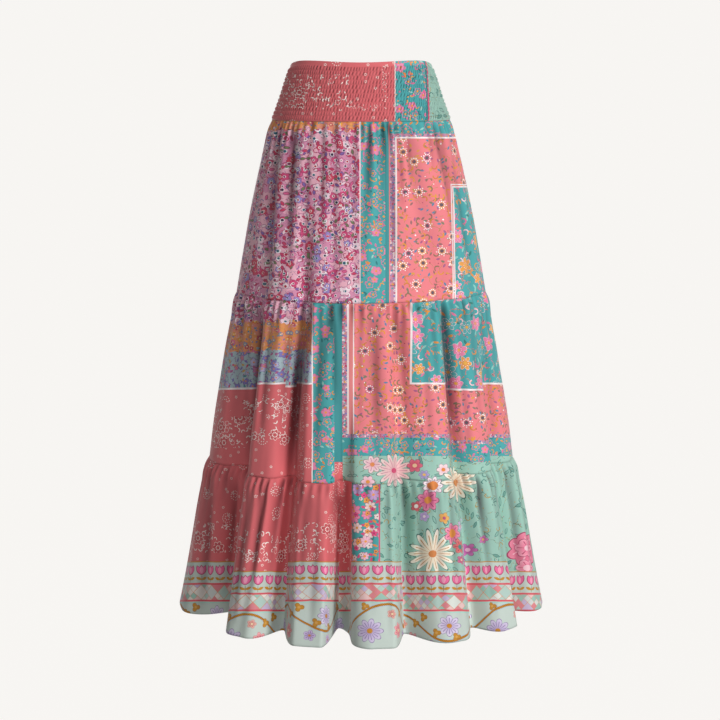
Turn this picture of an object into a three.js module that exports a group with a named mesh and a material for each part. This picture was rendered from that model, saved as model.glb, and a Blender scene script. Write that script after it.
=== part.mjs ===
// A tiered maxi skirt in woven cloth, as worn: a wide shirred waistband, and three gathered tiers that fall from it.
// Millimetres, +Z up, -Y to the front. The origin is the middle of the waist opening, where the wearer holds the skirt.
import * as THREE from "three";

// Driving sizes
const WALL = 2;
const SEAM_GAP = 0.3;
const BAND_HEIGHT = 106;
const TIER_1_BOTTOM = -424;
const TIER_2_BOTTOM = -742;
const HEM = -1030;

// Shirring: rows of elastic thread draw the band in, and the cloth stands out between them.
const SHIRR_ROWS = 11;
const SHIRR_DEPTH = 2.2;
const SHIRR_TOP_HEADER = 9;
const SHIRR_BOTTOM_MARGIN = 7;
const SHIRR_PUCKER = 0.7;
const BAND_COLUMNS = 72;

// The waist edge is highest between the centre and the sides. It dips at the centre front and back, and at the sides.
const RIM_RISE = 1.7;
const RIM_CENTRE_DIP = 4;
const RIM_SIDE_DIP = 7;

// The band from its upper edge down: the half width and half depth of the opening at each share of its height.
const BAND_SECTIONS = [
  { share: 0.0, width: 129, depth: 98 },
  { share: 0.18, width: 136, depth: 103 },
  { share: 0.6, width: 150, depth: 115 },
  { share: 1.0, width: 165, depth: 127 },
];

// Each tier from its gathered edge down. width and depth are half sizes over the crests of the folds, and gather is
// half the height of the small gathers.
const TIER_1 = {
  top: -BAND_HEIGHT,
  bottom: TIER_1_BOTTOM,
  gathers: 52,
  sections: [
    { share: 0.0, width: 165, depth: 127, gather: 2.0 },
    { share: 0.05, width: 172, depth: 133, gather: 3.2 },
    { share: 0.16, width: 181, depth: 140, gather: 2.6 },
    { share: 0.34, width: 194, depth: 150, gather: 1.4 },
    { share: 0.56, width: 209, depth: 162, gather: 0.8 },
    { share: 0.78, width: 222, depth: 173, gather: 0.4 },
    { share: 1.0, width: 234, depth: 183, gather: 0.2 },
  ],
};
const TIER_2 = {
  top: TIER_1_BOTTOM,
  bottom: TIER_2_BOTTOM,
  gathers: 60,
  sections: [
    { share: 0.0, width: 234, depth: 183, gather: 1.8 },
    { share: 0.05, width: 241, depth: 188, gather: 3.4 },
    { share: 0.15, width: 246, depth: 192, gather: 2.8 },
    { share: 0.33, width: 257, depth: 201, gather: 1.5 },
    { share: 0.55, width: 269, depth: 212, gather: 0.8 },
    { share: 0.78, width: 281, depth: 223, gather: 0.4 },
    { share: 1.0, width: 290, depth: 231, gather: 0.2 },
  ],
};
const TIER_3 = {
  top: TIER_2_BOTTOM,
  bottom: HEM,
  gathers: 88,
  sections: [
    { share: 0.0, width: 290, depth: 231, gather: 1.8 },
    { share: 0.06, width: 300, depth: 239, gather: 3.6 },
    { share: 0.16, width: 306, depth: 244, gather: 3.0 },
    { share: 0.34, width: 316, depth: 253, gather: 1.6 },
    { share: 0.56, width: 327, depth: 263, gather: 0.8 },
    { share: 0.8, width: 340, depth: 274, gather: 0.3 },
    { share: 1.0, width: 352, depth: 285, gather: 0 },
  ],
};
const GATHER_UNEVEN = 0.4; // the share by which one gather is taller or longer than the next

// The large folds that fall to the hem. Each row is the trough between two lobes of cloth: its angle from the centre
// front towards +X, and how far it reaches to either side, all in degrees. depth is its depth at the hem, and head is
// the height at which it begins.
const FOLDS = [
  { angle: -51.5, left: 25, right: 8, depth: 100, head: -240 },
  { angle: -26, left: 11, right: 6, depth: 72, head: -150 },
  { angle: -7.6, left: 4.5, right: 11, depth: 104, head: -560 },
  { angle: 14, left: 4.5, right: 14, depth: 72, head: -330 },
  { angle: 38, left: 5.5, right: 11, depth: 56, head: -190 },
  { angle: 61.5, left: 7, right: 17, depth: 76, head: -340 },
  { angle: 94, left: 7, right: 6, depth: 26, head: -420 },
  { angle: 107, left: 12, right: 6, depth: 54, head: -220 },
  { angle: 127, left: 14, right: 7, depth: 78, head: -160 },
  { angle: 148, left: 12, right: 6, depth: 66, head: -380 },
  { angle: 166, left: 11, right: 6, depth: 90, head: -260 },
  { angle: 187, left: 7, right: 12, depth: 72, head: -170 },
  { angle: 207, left: 6, right: 12, depth: 84, head: -440 },
  { angle: 228, left: 6, right: 13, depth: 62, head: -210 },
  { angle: 250, left: 7, right: 15, depth: 70, head: -300 },
];
const FOLD_GROWTH = 1.4; // how slowly a trough deepens below its head
const TROUGH_ROUND = 0.2; // how blunt a trough's bottom is, as a share of its half width
const TROUGH_TURN = 0.4; // below 1, the troughs point to the front or back more than square to the ring

const SIDE = Math.PI / 2;
const FULL_TURN = 2 * Math.PI;
const EDGE_STEPS = 2000; // fine steps along an edge, to measure the cloth's length there

/** The table's row at a share of the height, each column blended smoothly between the rows on either side. */
function sectionAt(sections, share) {
  const above = Math.max(0, sections.findLastIndex((row) => row.share <= share));
  const below = Math.min(above + 1, sections.length - 1);
  const span = sections[below].share - sections[above].share || 1;
  const blend = (share - sections[above].share) / span;
  const row = {};
  for (const column of Object.keys(sections[0])) {
    row[column] = THREE.MathUtils.lerp(sections[above][column], sections[below][column], blend);
  }
  return row;
}

/** The turn from one angle to another, from minus half a turn to half a turn. */
function turnTo(from, to) {
  return THREE.MathUtils.euclideanModulo(to - from + Math.PI, FULL_TURN) - Math.PI;
}

/** How far the large folds draw the cloth in at an angle and a height. */
function foldDepth(angle, height) {
  const rounded = (x) => Math.hypot(x, TROUGH_ROUND) - TROUGH_ROUND;
  let total = 0;
  for (const fold of FOLDS) {
    const turn = turnTo(THREE.MathUtils.degToRad(fold.angle), angle);
    const reach = THREE.MathUtils.degToRad(turn < 0 ? fold.left : fold.right);
    const away = Math.min(1, Math.abs(turn) / reach);
    const trough = (1 - rounded(away) / rounded(1)) ** 2;
    const grown = THREE.MathUtils.clamp((fold.head - height) / (fold.head - HEM), 0, 1) ** FOLD_GROWTH;
    total += fold.depth * trough * grown;
  }
  return total;
}

/** A point on a ring of half sizes width and depth, raised by one amount and then drawn in by another. */
function ringPoint({ width, depth }, angle, height, raised, drawnIn = 0) {
  const normal = new THREE.Vector2(depth * Math.sin(angle), -width * Math.cos(angle)).normalize();
  const trough = new THREE.Vector2(TROUGH_TURN * normal.x, normal.y).normalize();
  return new THREE.Vector3(
    width * Math.sin(angle) + raised * normal.x - drawnIn * trough.x,
    -depth * Math.cos(angle) + raised * normal.y - drawnIn * trough.y,
    height,
  );
}

/** The waist edge's height above the origin at an angle. */
function rimHeight(angle) {
  return RIM_RISE - RIM_CENTRE_DIP * Math.cos(angle) ** 6 - RIM_SIDE_DIP * Math.sin(angle) ** 14;
}

/** A point of the band. Between the elastic rows the cloth stands out, in puckers that alternate round it. */
function bandPoint(column, share, raised) {
  const bottom = -BAND_HEIGHT + SEAM_GAP / 2;
  const height = THREE.MathUtils.lerp(rimHeight(column.angle), bottom, share);
  const pucker = SHIRR_PUCKER * (column.index % 2 ? 1 : -1);
  return ringPoint(sectionAt(BAND_SECTIONS, share), column.angle, height, raised ? SHIRR_DEPTH + pucker : 0);
}

/** How tall a gather stands against the average. Some are short and die out soon below the seam. */
function gatherShare(column, share) {
  const gather = Math.floor(column.index / 2);
  const taller = GATHER_UNEVEN * Math.sin(2.3 * gather);
  const longer = 2 * GATHER_UNEVEN * Math.sin(1.7 * gather + 1) * share;
  return Math.max(0, 1 + taller + longer) * column.pitch;
}

/** A point of a tier. Its columns are by turns the crests and the bottoms of the gathers. */
function tierPoint(tier, column, share) {
  const row = sectionAt(tier.sections, share);
  const height = tier.top - SEAM_GAP / 2 + share * (tier.bottom - tier.top + SEAM_GAP);
  const gathered = column.index % 2 ? 0 : -2 * row.gather * gatherShare(column, share);
  return ringPoint(row, column.angle, height, gathered, foldDepth(column.angle, height));
}

/** The wall's inner points: each outer point moved in by the wall's thickness, along the surface's own normal. */
function movedIn(grid) {
  const last = { row: grid.length - 1, column: grid[0].length - 1 };
  return grid.map((points, r) =>
    points.map((point, c) => {
      const across = grid[r][Math.min(c + 1, last.column)].clone().sub(grid[r][Math.max(c - 1, 0)]);
      const down = grid[Math.min(r + 1, last.row)][c].clone().sub(grid[Math.max(r - 1, 0)][c]);
      const inward = across.cross(down).normalize();
      const edge = c === 0 || c === last.column;
      if (edge) {
        // The end stays on the side seam's own plane, so that front and back keep their gap.
        inward.y = 0;
      }
      inward.z = 0;
      return point.clone().addScaledVector(inward.normalize(), WALL);
    }),
  );
}

/**
 * The columns of one half, from its first side seam to its second, a gap short of each. They are evenly spaced along
 * the cloth at its lower edge, so a deep fold has its share of them. pitch is a column's width round the ring against
 * the average.
 */
function halfColumns(half, count, lowerEdge) {
  const start = half === "front" ? -SIDE : SIDE;
  const gap = SEAM_GAP / 2 / lowerEdge(start).length();
  const angles = Array.from({ length: EDGE_STEPS + 1 }, (_, i) =>
    start + THREE.MathUtils.lerp(gap, Math.PI - gap, i / EDGE_STEPS),
  );
  const lengths = [0];
  for (let i = 1; i <= EDGE_STEPS; i++) {
    lengths.push(lengths[i - 1] + lowerEdge(angles[i]).distanceTo(lowerEdge(angles[i - 1])));
  }
  const angleAt = (share) => {
    const length = share * lengths[EDGE_STEPS];
    const next = Math.max(1, lengths.findIndex((l) => l >= length - 1e-9));
    const blend = (length - lengths[next - 1]) / (lengths[next] - lengths[next - 1]);
    return THREE.MathUtils.lerp(angles[next - 1], angles[next], blend);
  };
  return Array.from({ length: count + 1 }, (_, index) => {
    const before = angleAt(Math.max(0, index - 1) / count);
    const after = angleAt(Math.min(count, index + 1) / count);
    const steps = Math.min(count, index + 1) - Math.max(0, index - 1);
    return { index, angle: angleAt(index / count), pitch: ((after - before) / steps / Math.PI) * count };
  });
}

/** A closed wall from a grid of outer points and one of inner points, which may have fewer rows. */
function wallGeometry(outer, inner) {
  const points = [...outer.flat(), ...inner.flat()];
  const columns = outer[0].length;
  const outerAt = (r, c) => r * columns + c;
  const innerAt = (r, c) => (outer.length + r) * columns + c;
  const faces = [];
  const quad = (a, b, c, d) => faces.push(a, b, c, a, c, d);

  for (let r = 0; r < outer.length - 1; r++) {
    for (let c = 0; c < columns - 1; c++) {
      quad(outerAt(r, c), outerAt(r + 1, c), outerAt(r + 1, c + 1), outerAt(r, c + 1));
    }
  }
  for (let r = 0; r < inner.length - 1; r++) {
    for (let c = 0; c < columns - 1; c++) {
      quad(innerAt(r, c), innerAt(r, c + 1), innerAt(r + 1, c + 1), innerAt(r + 1, c));
    }
  }
  const outerEnd = outer.length - 1;
  const innerEnd = inner.length - 1;
  for (let c = 0; c < columns - 1; c++) {
    quad(outerAt(0, c), outerAt(0, c + 1), innerAt(0, c + 1), innerAt(0, c));
    quad(outerAt(outerEnd, c), innerAt(innerEnd, c), innerAt(innerEnd, c + 1), outerAt(outerEnd, c + 1));
  }

  // The two ends: triangles that join the outer edge to the inner edge, stepping along whichever is behind.
  for (const end of [0, columns - 1]) {
    const face = (a, b, c) => faces.push(...(end === 0 ? [a, b, c] : [a, c, b]));
    let o = 0;
    let i = 0;
    while (o < outerEnd || i < innerEnd) {
      if (i === innerEnd || (o < outerEnd && (o + 1) / outerEnd <= (i + 1) / innerEnd)) {
        face(outerAt(o, end), innerAt(i, end), outerAt(o + 1, end));
        o += 1;
      } else {
        face(outerAt(o, end), innerAt(i, end), innerAt(i + 1, end));
        i += 1;
      }
    }
  }

  const geometry = new THREE.BufferGeometry();
  geometry.setAttribute("position", new THREE.Float32BufferAttribute(points.flatMap((p) => p.toArray()), 3));
  geometry.setIndex(faces);
  geometry.computeVertexNormals();
  return geometry;
}

/** The heights of the band's outer rings: a plain header, then an elastic row and a raised crest in turn. */
function shirringRings() {
  const pitch = (BAND_HEIGHT - SHIRR_TOP_HEADER - SHIRR_BOTTOM_MARGIN) / SHIRR_ROWS;
  const rings = [{ share: 0, raised: false }];
  for (let row = 0; row < SHIRR_ROWS; row++) {
    const stitch = SHIRR_TOP_HEADER + row * pitch;
    rings.push({ share: stitch / BAND_HEIGHT, raised: false });
    rings.push({ share: (stitch + pitch / 2) / BAND_HEIGHT, raised: true });
  }
  rings.push({ share: 1 - SHIRR_BOTTOM_MARGIN / BAND_HEIGHT, raised: false });
  rings.push({ share: 1, raised: false });
  return rings;
}

/** One half of the shirred band: raised outside, plain inside. */
function bandHalf(half) {
  const columns = halfColumns(half, BAND_COLUMNS / 2, (angle) => bandPoint({ angle, index: 0 }, 1, false));
  const outer = shirringRings().map(({ share, raised }) => columns.map((column) => bandPoint(column, share, raised)));
  const plain = BAND_SECTIONS.map(({ share }) => columns.map((column) => bandPoint(column, share, false)));
  return wallGeometry(outer, movedIn(plain));
}

/** One half of a gathered tier. */
function tierHalf(half, tier) {
  const columns = halfColumns(half, tier.gathers, (angle) => tierPoint(tier, { angle, index: 1 }, 1));
  const outer = tier.sections.map(({ share }) => columns.map((column) => tierPoint(tier, column, share)));
  return wallGeometry(outer, movedIn(outer));
}

const cloth = (color) => new THREE.MeshStandardMaterial({ color, roughness: 0.75, metalness: 0 });
const CORAL = 0xcd5c5f;
const ROSE = 0xd995ab;
const SALMON = 0xe97a80;
const MINT = 0x93bfae;

const skirt = new THREE.Group();
for (const half of ["front", "back"]) {
  const pieces = {
    waistband: [bandHalf(half), CORAL],
    tier_1: [tierHalf(half, TIER_1), ROSE],
    tier_2: [tierHalf(half, TIER_2), SALMON],
    tier_3: [tierHalf(half, TIER_3), MINT],
  };
  for (const [name, [geometry, color]] of Object.entries(pieces)) {
    const piece = new THREE.Mesh(geometry, cloth(color));
    piece.name = `${name}_${half}`;
    skirt.add(piece);
  }
}

export default skirt;
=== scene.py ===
"""A tiered maxi skirt, filled out as worn: a wide shirred waistband and three gathered tiers.

The skirt is printed woven viscose in a patchwork of colours. Each half of each tier is one thin
sheet of cloth, a surface over two parameters: the angle round the skirt and the share of the way
down the piece.
"""
import math

import bpy
import numpy as np
from bpy.props import FloatProperty, FloatVectorProperty, PointerProperty
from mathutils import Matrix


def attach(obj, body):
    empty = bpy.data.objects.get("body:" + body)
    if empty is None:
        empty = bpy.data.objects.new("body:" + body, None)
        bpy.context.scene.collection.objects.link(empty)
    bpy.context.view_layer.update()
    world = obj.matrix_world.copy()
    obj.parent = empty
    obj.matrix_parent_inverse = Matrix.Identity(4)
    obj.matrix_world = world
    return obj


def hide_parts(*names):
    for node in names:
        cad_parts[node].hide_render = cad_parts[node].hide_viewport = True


bl_info = {
    "name": "Tiered maxi skirt",
    "version": (1, 0, 0),
    "blender": (4, 5, 0),
    "location": "3D View > Sidebar > Skirt",
    "description": "Makes a tiered maxi skirt in patchwork viscose, with a shirred waistband",
    "category": "Add Mesh",
}

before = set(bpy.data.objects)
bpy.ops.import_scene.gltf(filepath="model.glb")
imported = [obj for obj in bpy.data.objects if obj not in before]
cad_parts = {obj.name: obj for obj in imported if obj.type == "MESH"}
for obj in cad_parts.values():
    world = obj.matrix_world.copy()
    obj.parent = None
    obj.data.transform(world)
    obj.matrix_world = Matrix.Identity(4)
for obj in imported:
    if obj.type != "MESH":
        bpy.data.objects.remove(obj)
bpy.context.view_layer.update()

# The sockets of a mix of two colours: its share, the colour under and the colour over.
MIX_SOCKETS = {0: 0, 1: 6, 2: 7}

# Sizes in millimetres. MM turns them to metres.
MM = 0.001
SIDE = math.pi / 2
FULL_TURN = 2 * math.pi
BAND_HEIGHT = 106
TIER_1_BOTTOM = -424
TIER_2_BOTTOM = -742
HEM = -1030
SEAM_GAP = 0.3
SEAM_TUCK = 0.9  # how far a tier's gathered edge is tucked in under the edge above
TUCK_FADE = 60  # how fast the tuck ends below the seam
GATHER_HEIGHT = 6.2
GATHER_LENGTHS = (16, 62)
BROAD_HEIGHT = 4.6
BROAD_LENGTHS = (110, 300)
ROW_CROWDING = 1.12  # the rows of a tier lie closer together under its seam
DARKEST_SHADE_DEPTH = 9  # a gather this deep gets the darkest painted shade

# Shirring: a plain header, then rows of elastic with the cloth puckered between them.
BAND_COLUMNS = 380
SHIRR_ROWS = 12
ROWS_A_PUCKER = 6  # the mesh's rows between two rows of elastic
SHIRR_HEADER = 8
SHIRR_MARGIN = 2
SHIRR_DEPTH = 1.8
PUCKER_PITCH = 5.0
PUCKER_LEAN = 0.45
PUCKER_SLIT = 0.17
PUCKER_SHARE = 1.25
RIM_RISE = 1.7
RIM_CENTRE_DIP = 4
RIM_SIDE_DIP = 7

# Half widths and half depths over the crests of the cloth, by the share of the way down each piece.
BAND_SECTIONS = [
    # share, half width, half depth
    (0.0, 129, 98),
    (0.18, 136, 103),
    (0.6, 150, 115),
    (1.0, 165, 127),
]
TIERS = {
    "tier_1": {
        "number": 1, "slot": "top_tier_cloth", "top": -BAND_HEIGHT, "bottom": TIER_1_BOTTOM,
        "columns": 330, "rows": 82, "gathers": 34, "flat": (1.34, 0.318),
        "sections": [
            # share, half width, half depth
            (0.0, 165, 127), (0.05, 172, 133), (0.16, 181, 140), (0.34, 194, 150),
            (0.56, 209, 162), (0.78, 222, 173), (1.0, 234, 183),
        ],
    },
    "tier_2": {
        "number": 2, "slot": "middle_tier_cloth", "top": TIER_1_BOTTOM, "bottom": TIER_2_BOTTOM,
        "columns": 360, "rows": 82, "gathers": 46, "flat": (1.9, 0.318),
        "sections": [
            # share, half width, half depth
            (0.0, 234, 183), (0.05, 241, 188), (0.15, 246, 192), (0.33, 257, 201),
            (0.55, 269, 212), (0.78, 281, 223), (1.0, 290, 231),
        ],
    },
    "tier_3": {
        "number": 3, "slot": "hem_tier_cloth", "top": TIER_2_BOTTOM, "bottom": HEM,
        "columns": 450, "rows": 78, "gathers": 58, "flat": (2.6, 0.288),
        "sections": [
            # share, half width, half depth
            (0.0, 290, 231), (0.06, 300, 239), (0.16, 306, 244), (0.34, 316, 253),
            (0.56, 327, 263), (0.8, 340, 274), (1.0, 352, 285),
        ],
    },
}

# The troughs between the large lobes of cloth. angle runs from the centre front towards +X, and
# left and right are how far the trough reaches, in degrees. depth is its depth at the hem and head
# the height where it begins.
FOLDS = [
    # angle, left, right, depth, head
    (-51.5, 25, 8, 100, -240),
    (-26, 11, 6, 72, -150),
    (-7.6, 4.5, 11, 104, -560),
    (14, 4.5, 14, 72, -330),
    (38, 5.5, 11, 56, -190),
    (61.5, 7, 17, 76, -340),
    (94, 7, 6, 26, -420),
    (107, 12, 6, 54, -220),
    (127, 14, 7, 78, -160),
    (148, 12, 6, 66, -380),
    (166, 11, 6, 90, -260),
    (187, 7, 12, 72, -170),
    (207, 6, 12, 84, -440),
    (228, 6, 13, 62, -210),
    (250, 7, 15, 70, -300),
]
FOLD_GROWTH = 1.4
TROUGH_ROUND = 0.2
TROUGH_TURN = 0.4

# A lip where one lobe laps over the recess beside it: its angle, how wide the lip's step and its
# reach are, in degrees, its depth at the hem and its head.
LIPS = [(-3.3, 0.5, 3.6, 20, -560)]

# The print steps down from one lobe to the next, because the cloth between them is hidden in the
# folds. Each row is the angle where a lobe begins and how far its print is lowered on each tier.
# None means that it isn't a lobe there.
LOBES = [
    # from angle, tier 1, tier 2, tier 3
    (-91, 0, 14, 0),
    (-51.5, 0, 0, 20),
    (-32, None, 14, None),
    (-28, None, 0, None),
    (-26, 0, 0, 0),
    (-7.6, 0, 0, 20),
    (-3.3, 0, 0, 0),
    (14, 0, 0, 20),
    (38, 0, 12, 0),
    (61.5, 0, 0, 20),
    (94, 0, 0, 0),
    (107, 0, 0, 14),
    (127, 0, 0, 0),
    (148, 0, 0, 18),
    (166, 0, 10, 0),
    (187, 0, 0, 20),
    (207, 0, 0, 0),
    (228, 0, 12, 16),
    (250, 0, 0, 0),
]

# The print's level lines sag towards the centre front and back, as on panels with a curved edge.
PRINT_REACH = 3080
PRINT_RAISE = 10
STEP_FULL = 12  # the print is lowered in full where this much cloth is hidden between two lobes
STEP_START = 0.4  # share of a tier's height over which the step grows
SQUEEZE = 0.75  # at the sides the print's columns are laid closer than the cloth's own length
OVAL = 0.785  # a ring's depth against its width
ANGLE_STEPS = 6000
PRINT_STEPS = 2000


def colour(code):
    """An sRGB hex code as linear red, green, blue and alpha."""
    parts = [int(code[i:i + 2], 16) / 255 for i in (1, 3, 5)]
    linear = [p / 12.92 if p <= 0.04045 else ((p + 0.055) / 1.055) ** 2.4 for p in parts]
    return (*linear, 1.0)


class SkirtSettings(bpy.types.PropertyGroup):
    """The sizes and colours that a maker would change."""

    cloth_thickness: FloatProperty(
        name="Cloth thickness", description="Thickness of the printed viscose",
        default=0.0006, min=0.0002, max=0.002, unit="LENGTH", precision=5,
    )
    gather_share: FloatProperty(
        name="Gathers", description="Height of the gathers under each seam against the usual",
        default=1.0, min=0.0, max=1.6, subtype="FACTOR",
    )
    coral: FloatVectorProperty(
        name="Coral", description="Ground of the coral bandana print",
        default=colour("#DC696E")[:3], size=3, subtype="COLOR", min=0, max=1,
    )
    teal: FloatVectorProperty(
        name="Teal", description="Ground of the teal floral print",
        default=colour("#48A8AB")[:3], size=3, subtype="COLOR", min=0, max=1,
    )
    salmon: FloatVectorProperty(
        name="Salmon", description="Ground of the salmon print",
        default=colour("#EE8188")[:3], size=3, subtype="COLOR", min=0, max=1,
    )
    rose: FloatVectorProperty(
        name="Rose", description="Ground of the small-flowered pink print",
        default=colour("#EFB4C6")[:3], size=3, subtype="COLOR", min=0, max=1,
    )
    mint: FloatVectorProperty(
        name="Mint", description="Ground of the mint print",
        default=colour("#9FCABB")[:3], size=3, subtype="COLOR", min=0, max=1,
    )
    pale_mint: FloatVectorProperty(
        name="Pale mint", description="Ground of the hem's border",
        default=colour("#C6D3CB")[:3], size=3, subtype="COLOR", min=0, max=1,
    )
    floor_colour: FloatVectorProperty(
        name="Floor", description="Colour of the studio floor",
        default=colour("#F7F5F2")[:3], size=3, subtype="COLOR", min=0, max=1,
    )


def smooth_curve(x, xs, ys):
    """A smooth line through a table: a cubic between its rows, whose slopes come from the rows on
    either side."""
    xs = np.asarray(xs, float)
    ys = np.asarray(ys, float)
    slopes = np.gradient(ys, xs)
    i = np.clip(np.searchsorted(xs, x, side="right") - 1, 0, len(xs) - 2)
    span = xs[i + 1] - xs[i]
    t = (x - xs[i]) / span
    rise = (1 + 2 * t) * (1 - t) ** 2 * ys[i] + t ** 2 * (3 - 2 * t) * ys[i + 1]
    return rise + t * (1 - t) ** 2 * span * slopes[i] + t ** 2 * (t - 1) * span * slopes[i + 1]


def section_at(sections, share):
    """Half width and half depth at each share of the way down."""
    rows = np.array(sections)
    return smooth_curve(share, rows[:, 0], rows[:, 1]), smooth_curve(share, rows[:, 0], rows[:, 2])


def grown(head, height):
    """A fold's share of its full depth: nothing at its head, and all of it at the hem."""
    return np.clip((head - height) / (head - HEM), 0, 1) ** FOLD_GROWTH


def fold_depth(angle, height):
    """How far the large folds draw the cloth in: each trough is a rounded V between two reaches,
    and it deepens from its head to the hem. A lip adds a sharp step to a trough's slope."""
    full = math.hypot(1, TROUGH_ROUND) - TROUGH_ROUND
    total = np.zeros(np.broadcast(angle, height).shape)
    for centre, left, right, depth, head in FOLDS:
        turn = (angle - math.radians(centre) + math.pi) % FULL_TURN - math.pi
        reach = np.radians(np.where(turn < 0, left, right))
        away = np.minimum(1, np.abs(turn) / reach)
        trough = 1 - (np.hypot(away, TROUGH_ROUND) - TROUGH_ROUND) / full
        total = total + depth * trough ** 2 * grown(head, height)
    for centre, step, reach, depth, head in LIPS:
        turn = np.degrees((angle - math.radians(centre) + math.pi) % FULL_TURN - math.pi)
        lip = depth * np.tanh(turn / step) * np.exp(-(turn / reach) ** 2)
        total = total - lip * grown(head, height)
    return total


def ring_point(width, depth, angle, height, raised, drawn_in):
    """A point of an oval ring: half width times sine and half depth times cosine of the angle, then
    raised square to the ring, then drawn in towards the front-to-back line."""
    nx, ny = depth * np.sin(angle), -width * np.cos(angle)
    length = np.hypot(nx, ny)
    nx, ny = nx / length, ny / length
    tx, ty = TROUGH_TURN * nx, ny
    length = np.hypot(tx, ty)
    x = width * np.sin(angle) + raised * nx - drawn_in * tx / length
    y = -depth * np.cos(angle) + raised * ny - drawn_in * ty / length
    return np.stack([x, y, np.broadcast_to(height, x.shape)], axis=-1)


def half_turn(half):
    """The first side seam's angle, for the front or the back half."""
    return -SIDE if half == "front" else SIDE


def column_angles(half, count, upper, lower, marks=()):
    """Angles of the columns of one half, spaced by the mean of the cloth's length along its two
    edges. The column nearest each mark, in degrees, is moved onto it."""
    start = half_turn(half)
    gap = SEAM_GAP / 2 / np.linalg.norm(lower(np.array([start]))[0])
    fine = np.linspace(start + gap, start + math.pi - gap, ANGLE_STEPS)
    length = np.zeros(len(fine))
    for edge in (upper, lower):
        steps = np.linalg.norm(np.diff(edge(fine), axis=0), axis=1)
        length[1:] += np.cumsum(steps) / steps.sum()
    angles = np.interp(np.linspace(0, 2, count + 1), length, fine)
    for mark in np.radians(marks):
        if angles[1] < mark < angles[-2]:
            angles[np.argmin(np.abs(angles - mark))] = mark
    return angles


def print_across(width, angle):
    """The print's place across the cloth at an angle: true to the front view in the middle, and
    nearer the cloth's own length towards the sides."""
    fine = np.linspace(-SIDE, SIDE, PRINT_STEPS + 1)
    round_ring = SQUEEZE * np.sqrt(np.cos(fine) ** 2 + OVAL ** 2 * np.sin(fine) ** 2)
    speed = np.maximum(np.cos(fine), round_ring)
    total = np.concatenate([[0], np.cumsum((speed[1:] + speed[:-1]) / 2 * np.diff(fine))])
    total -= np.interp(0, fine, total)
    turned = (angle + SIDE) % FULL_TURN - SIDE
    side = np.where(turned > SIDE + 1e-6, 1, 0)
    return width * np.interp(turned - side * math.pi, fine, total)


def print_level(points):
    """The print's height on the cloth, whose level lines sag towards the centre front and back."""
    return PRINT_REACH * (points[..., 2] + PRINT_RAISE) / (PRINT_REACH - np.abs(points[..., 1]))


def uneven(number, pace, start=0.0):
    """A steady number from 0 to 1 for each whole number, which looks random."""
    return (np.sin(number * pace + start) * 43.7453) % 1.0


def between(ends, share):
    """A number at a share of the way from the first end to the second."""
    return ends[0] + (ends[1] - ends[0]) * share


def gathers_at(tier, angle, share):
    """How far the gathers draw the cloth in. Each is a soft trough between two crests, of its own
    width, height and length: tall and narrow under the seam, and gone further down. Broader soft
    folds take over from them."""
    below = share * (tier["top"] - tier["bottom"])
    start = angle[0, 0]
    turn = (angle - start) / math.pi
    count = tier["gathers"]
    warped = count * turn + 0.9 * np.sin(5.3 * turn * math.pi + count)
    warped = warped + 0.5 * np.sin(17 * turn + start)
    number = np.floor(warped)
    tall = 0.45 + 1.0 * uneven(number, 2.3, start)
    long = between(GATHER_LENGTHS, uneven(number, 1.7, 1 + start) ** 1.5)
    small = np.sin(math.pi * (warped - number)) ** 2 * tall * np.exp(-(below / long) ** 1.6)
    opening = 1 - np.exp(-((below + 4) / 9) ** 2)
    warped = warped / 2.6 + 0.45 * np.sin(warped / 3.1 + below / 160)
    number = np.floor(warped)
    tall = 0.3 + uneven(number, 3.1, 2 + start)
    long = between(BROAD_LENGTHS, uneven(number, 4.7, start))
    rise = 1 - np.exp(-(below / 26) ** 2)
    broad = np.sin(math.pi * (warped - number)) ** 2 * tall * rise * np.exp(-(below / long) ** 2)
    drawn_in = GATHER_HEIGHT * small * opening + BROAD_HEIGHT * broad
    return bpy.context.scene.skirt.gather_share * drawn_in


def creases_at(rows, tier, angle, share):
    """Creases listed one by one: each row is an angle at its top and its foot, where it starts and
    ends below the seam, its half width in degrees and its depth. A minus depth is a ridge."""
    below = share * (tier["top"] - tier["bottom"])
    total = np.zeros(np.broadcast(angle, share).shape)
    for top, foot, start, end, width, depth in rows:
        part = np.clip((below - start) / (end - start), 0, 1)
        centre = np.radians(top + (foot - top) * part)
        fade = np.sin(math.pi * part) ** 0.6
        total = total + depth * fade * np.exp(-((angle - centre) / math.radians(width)) ** 2)
    return total


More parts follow.
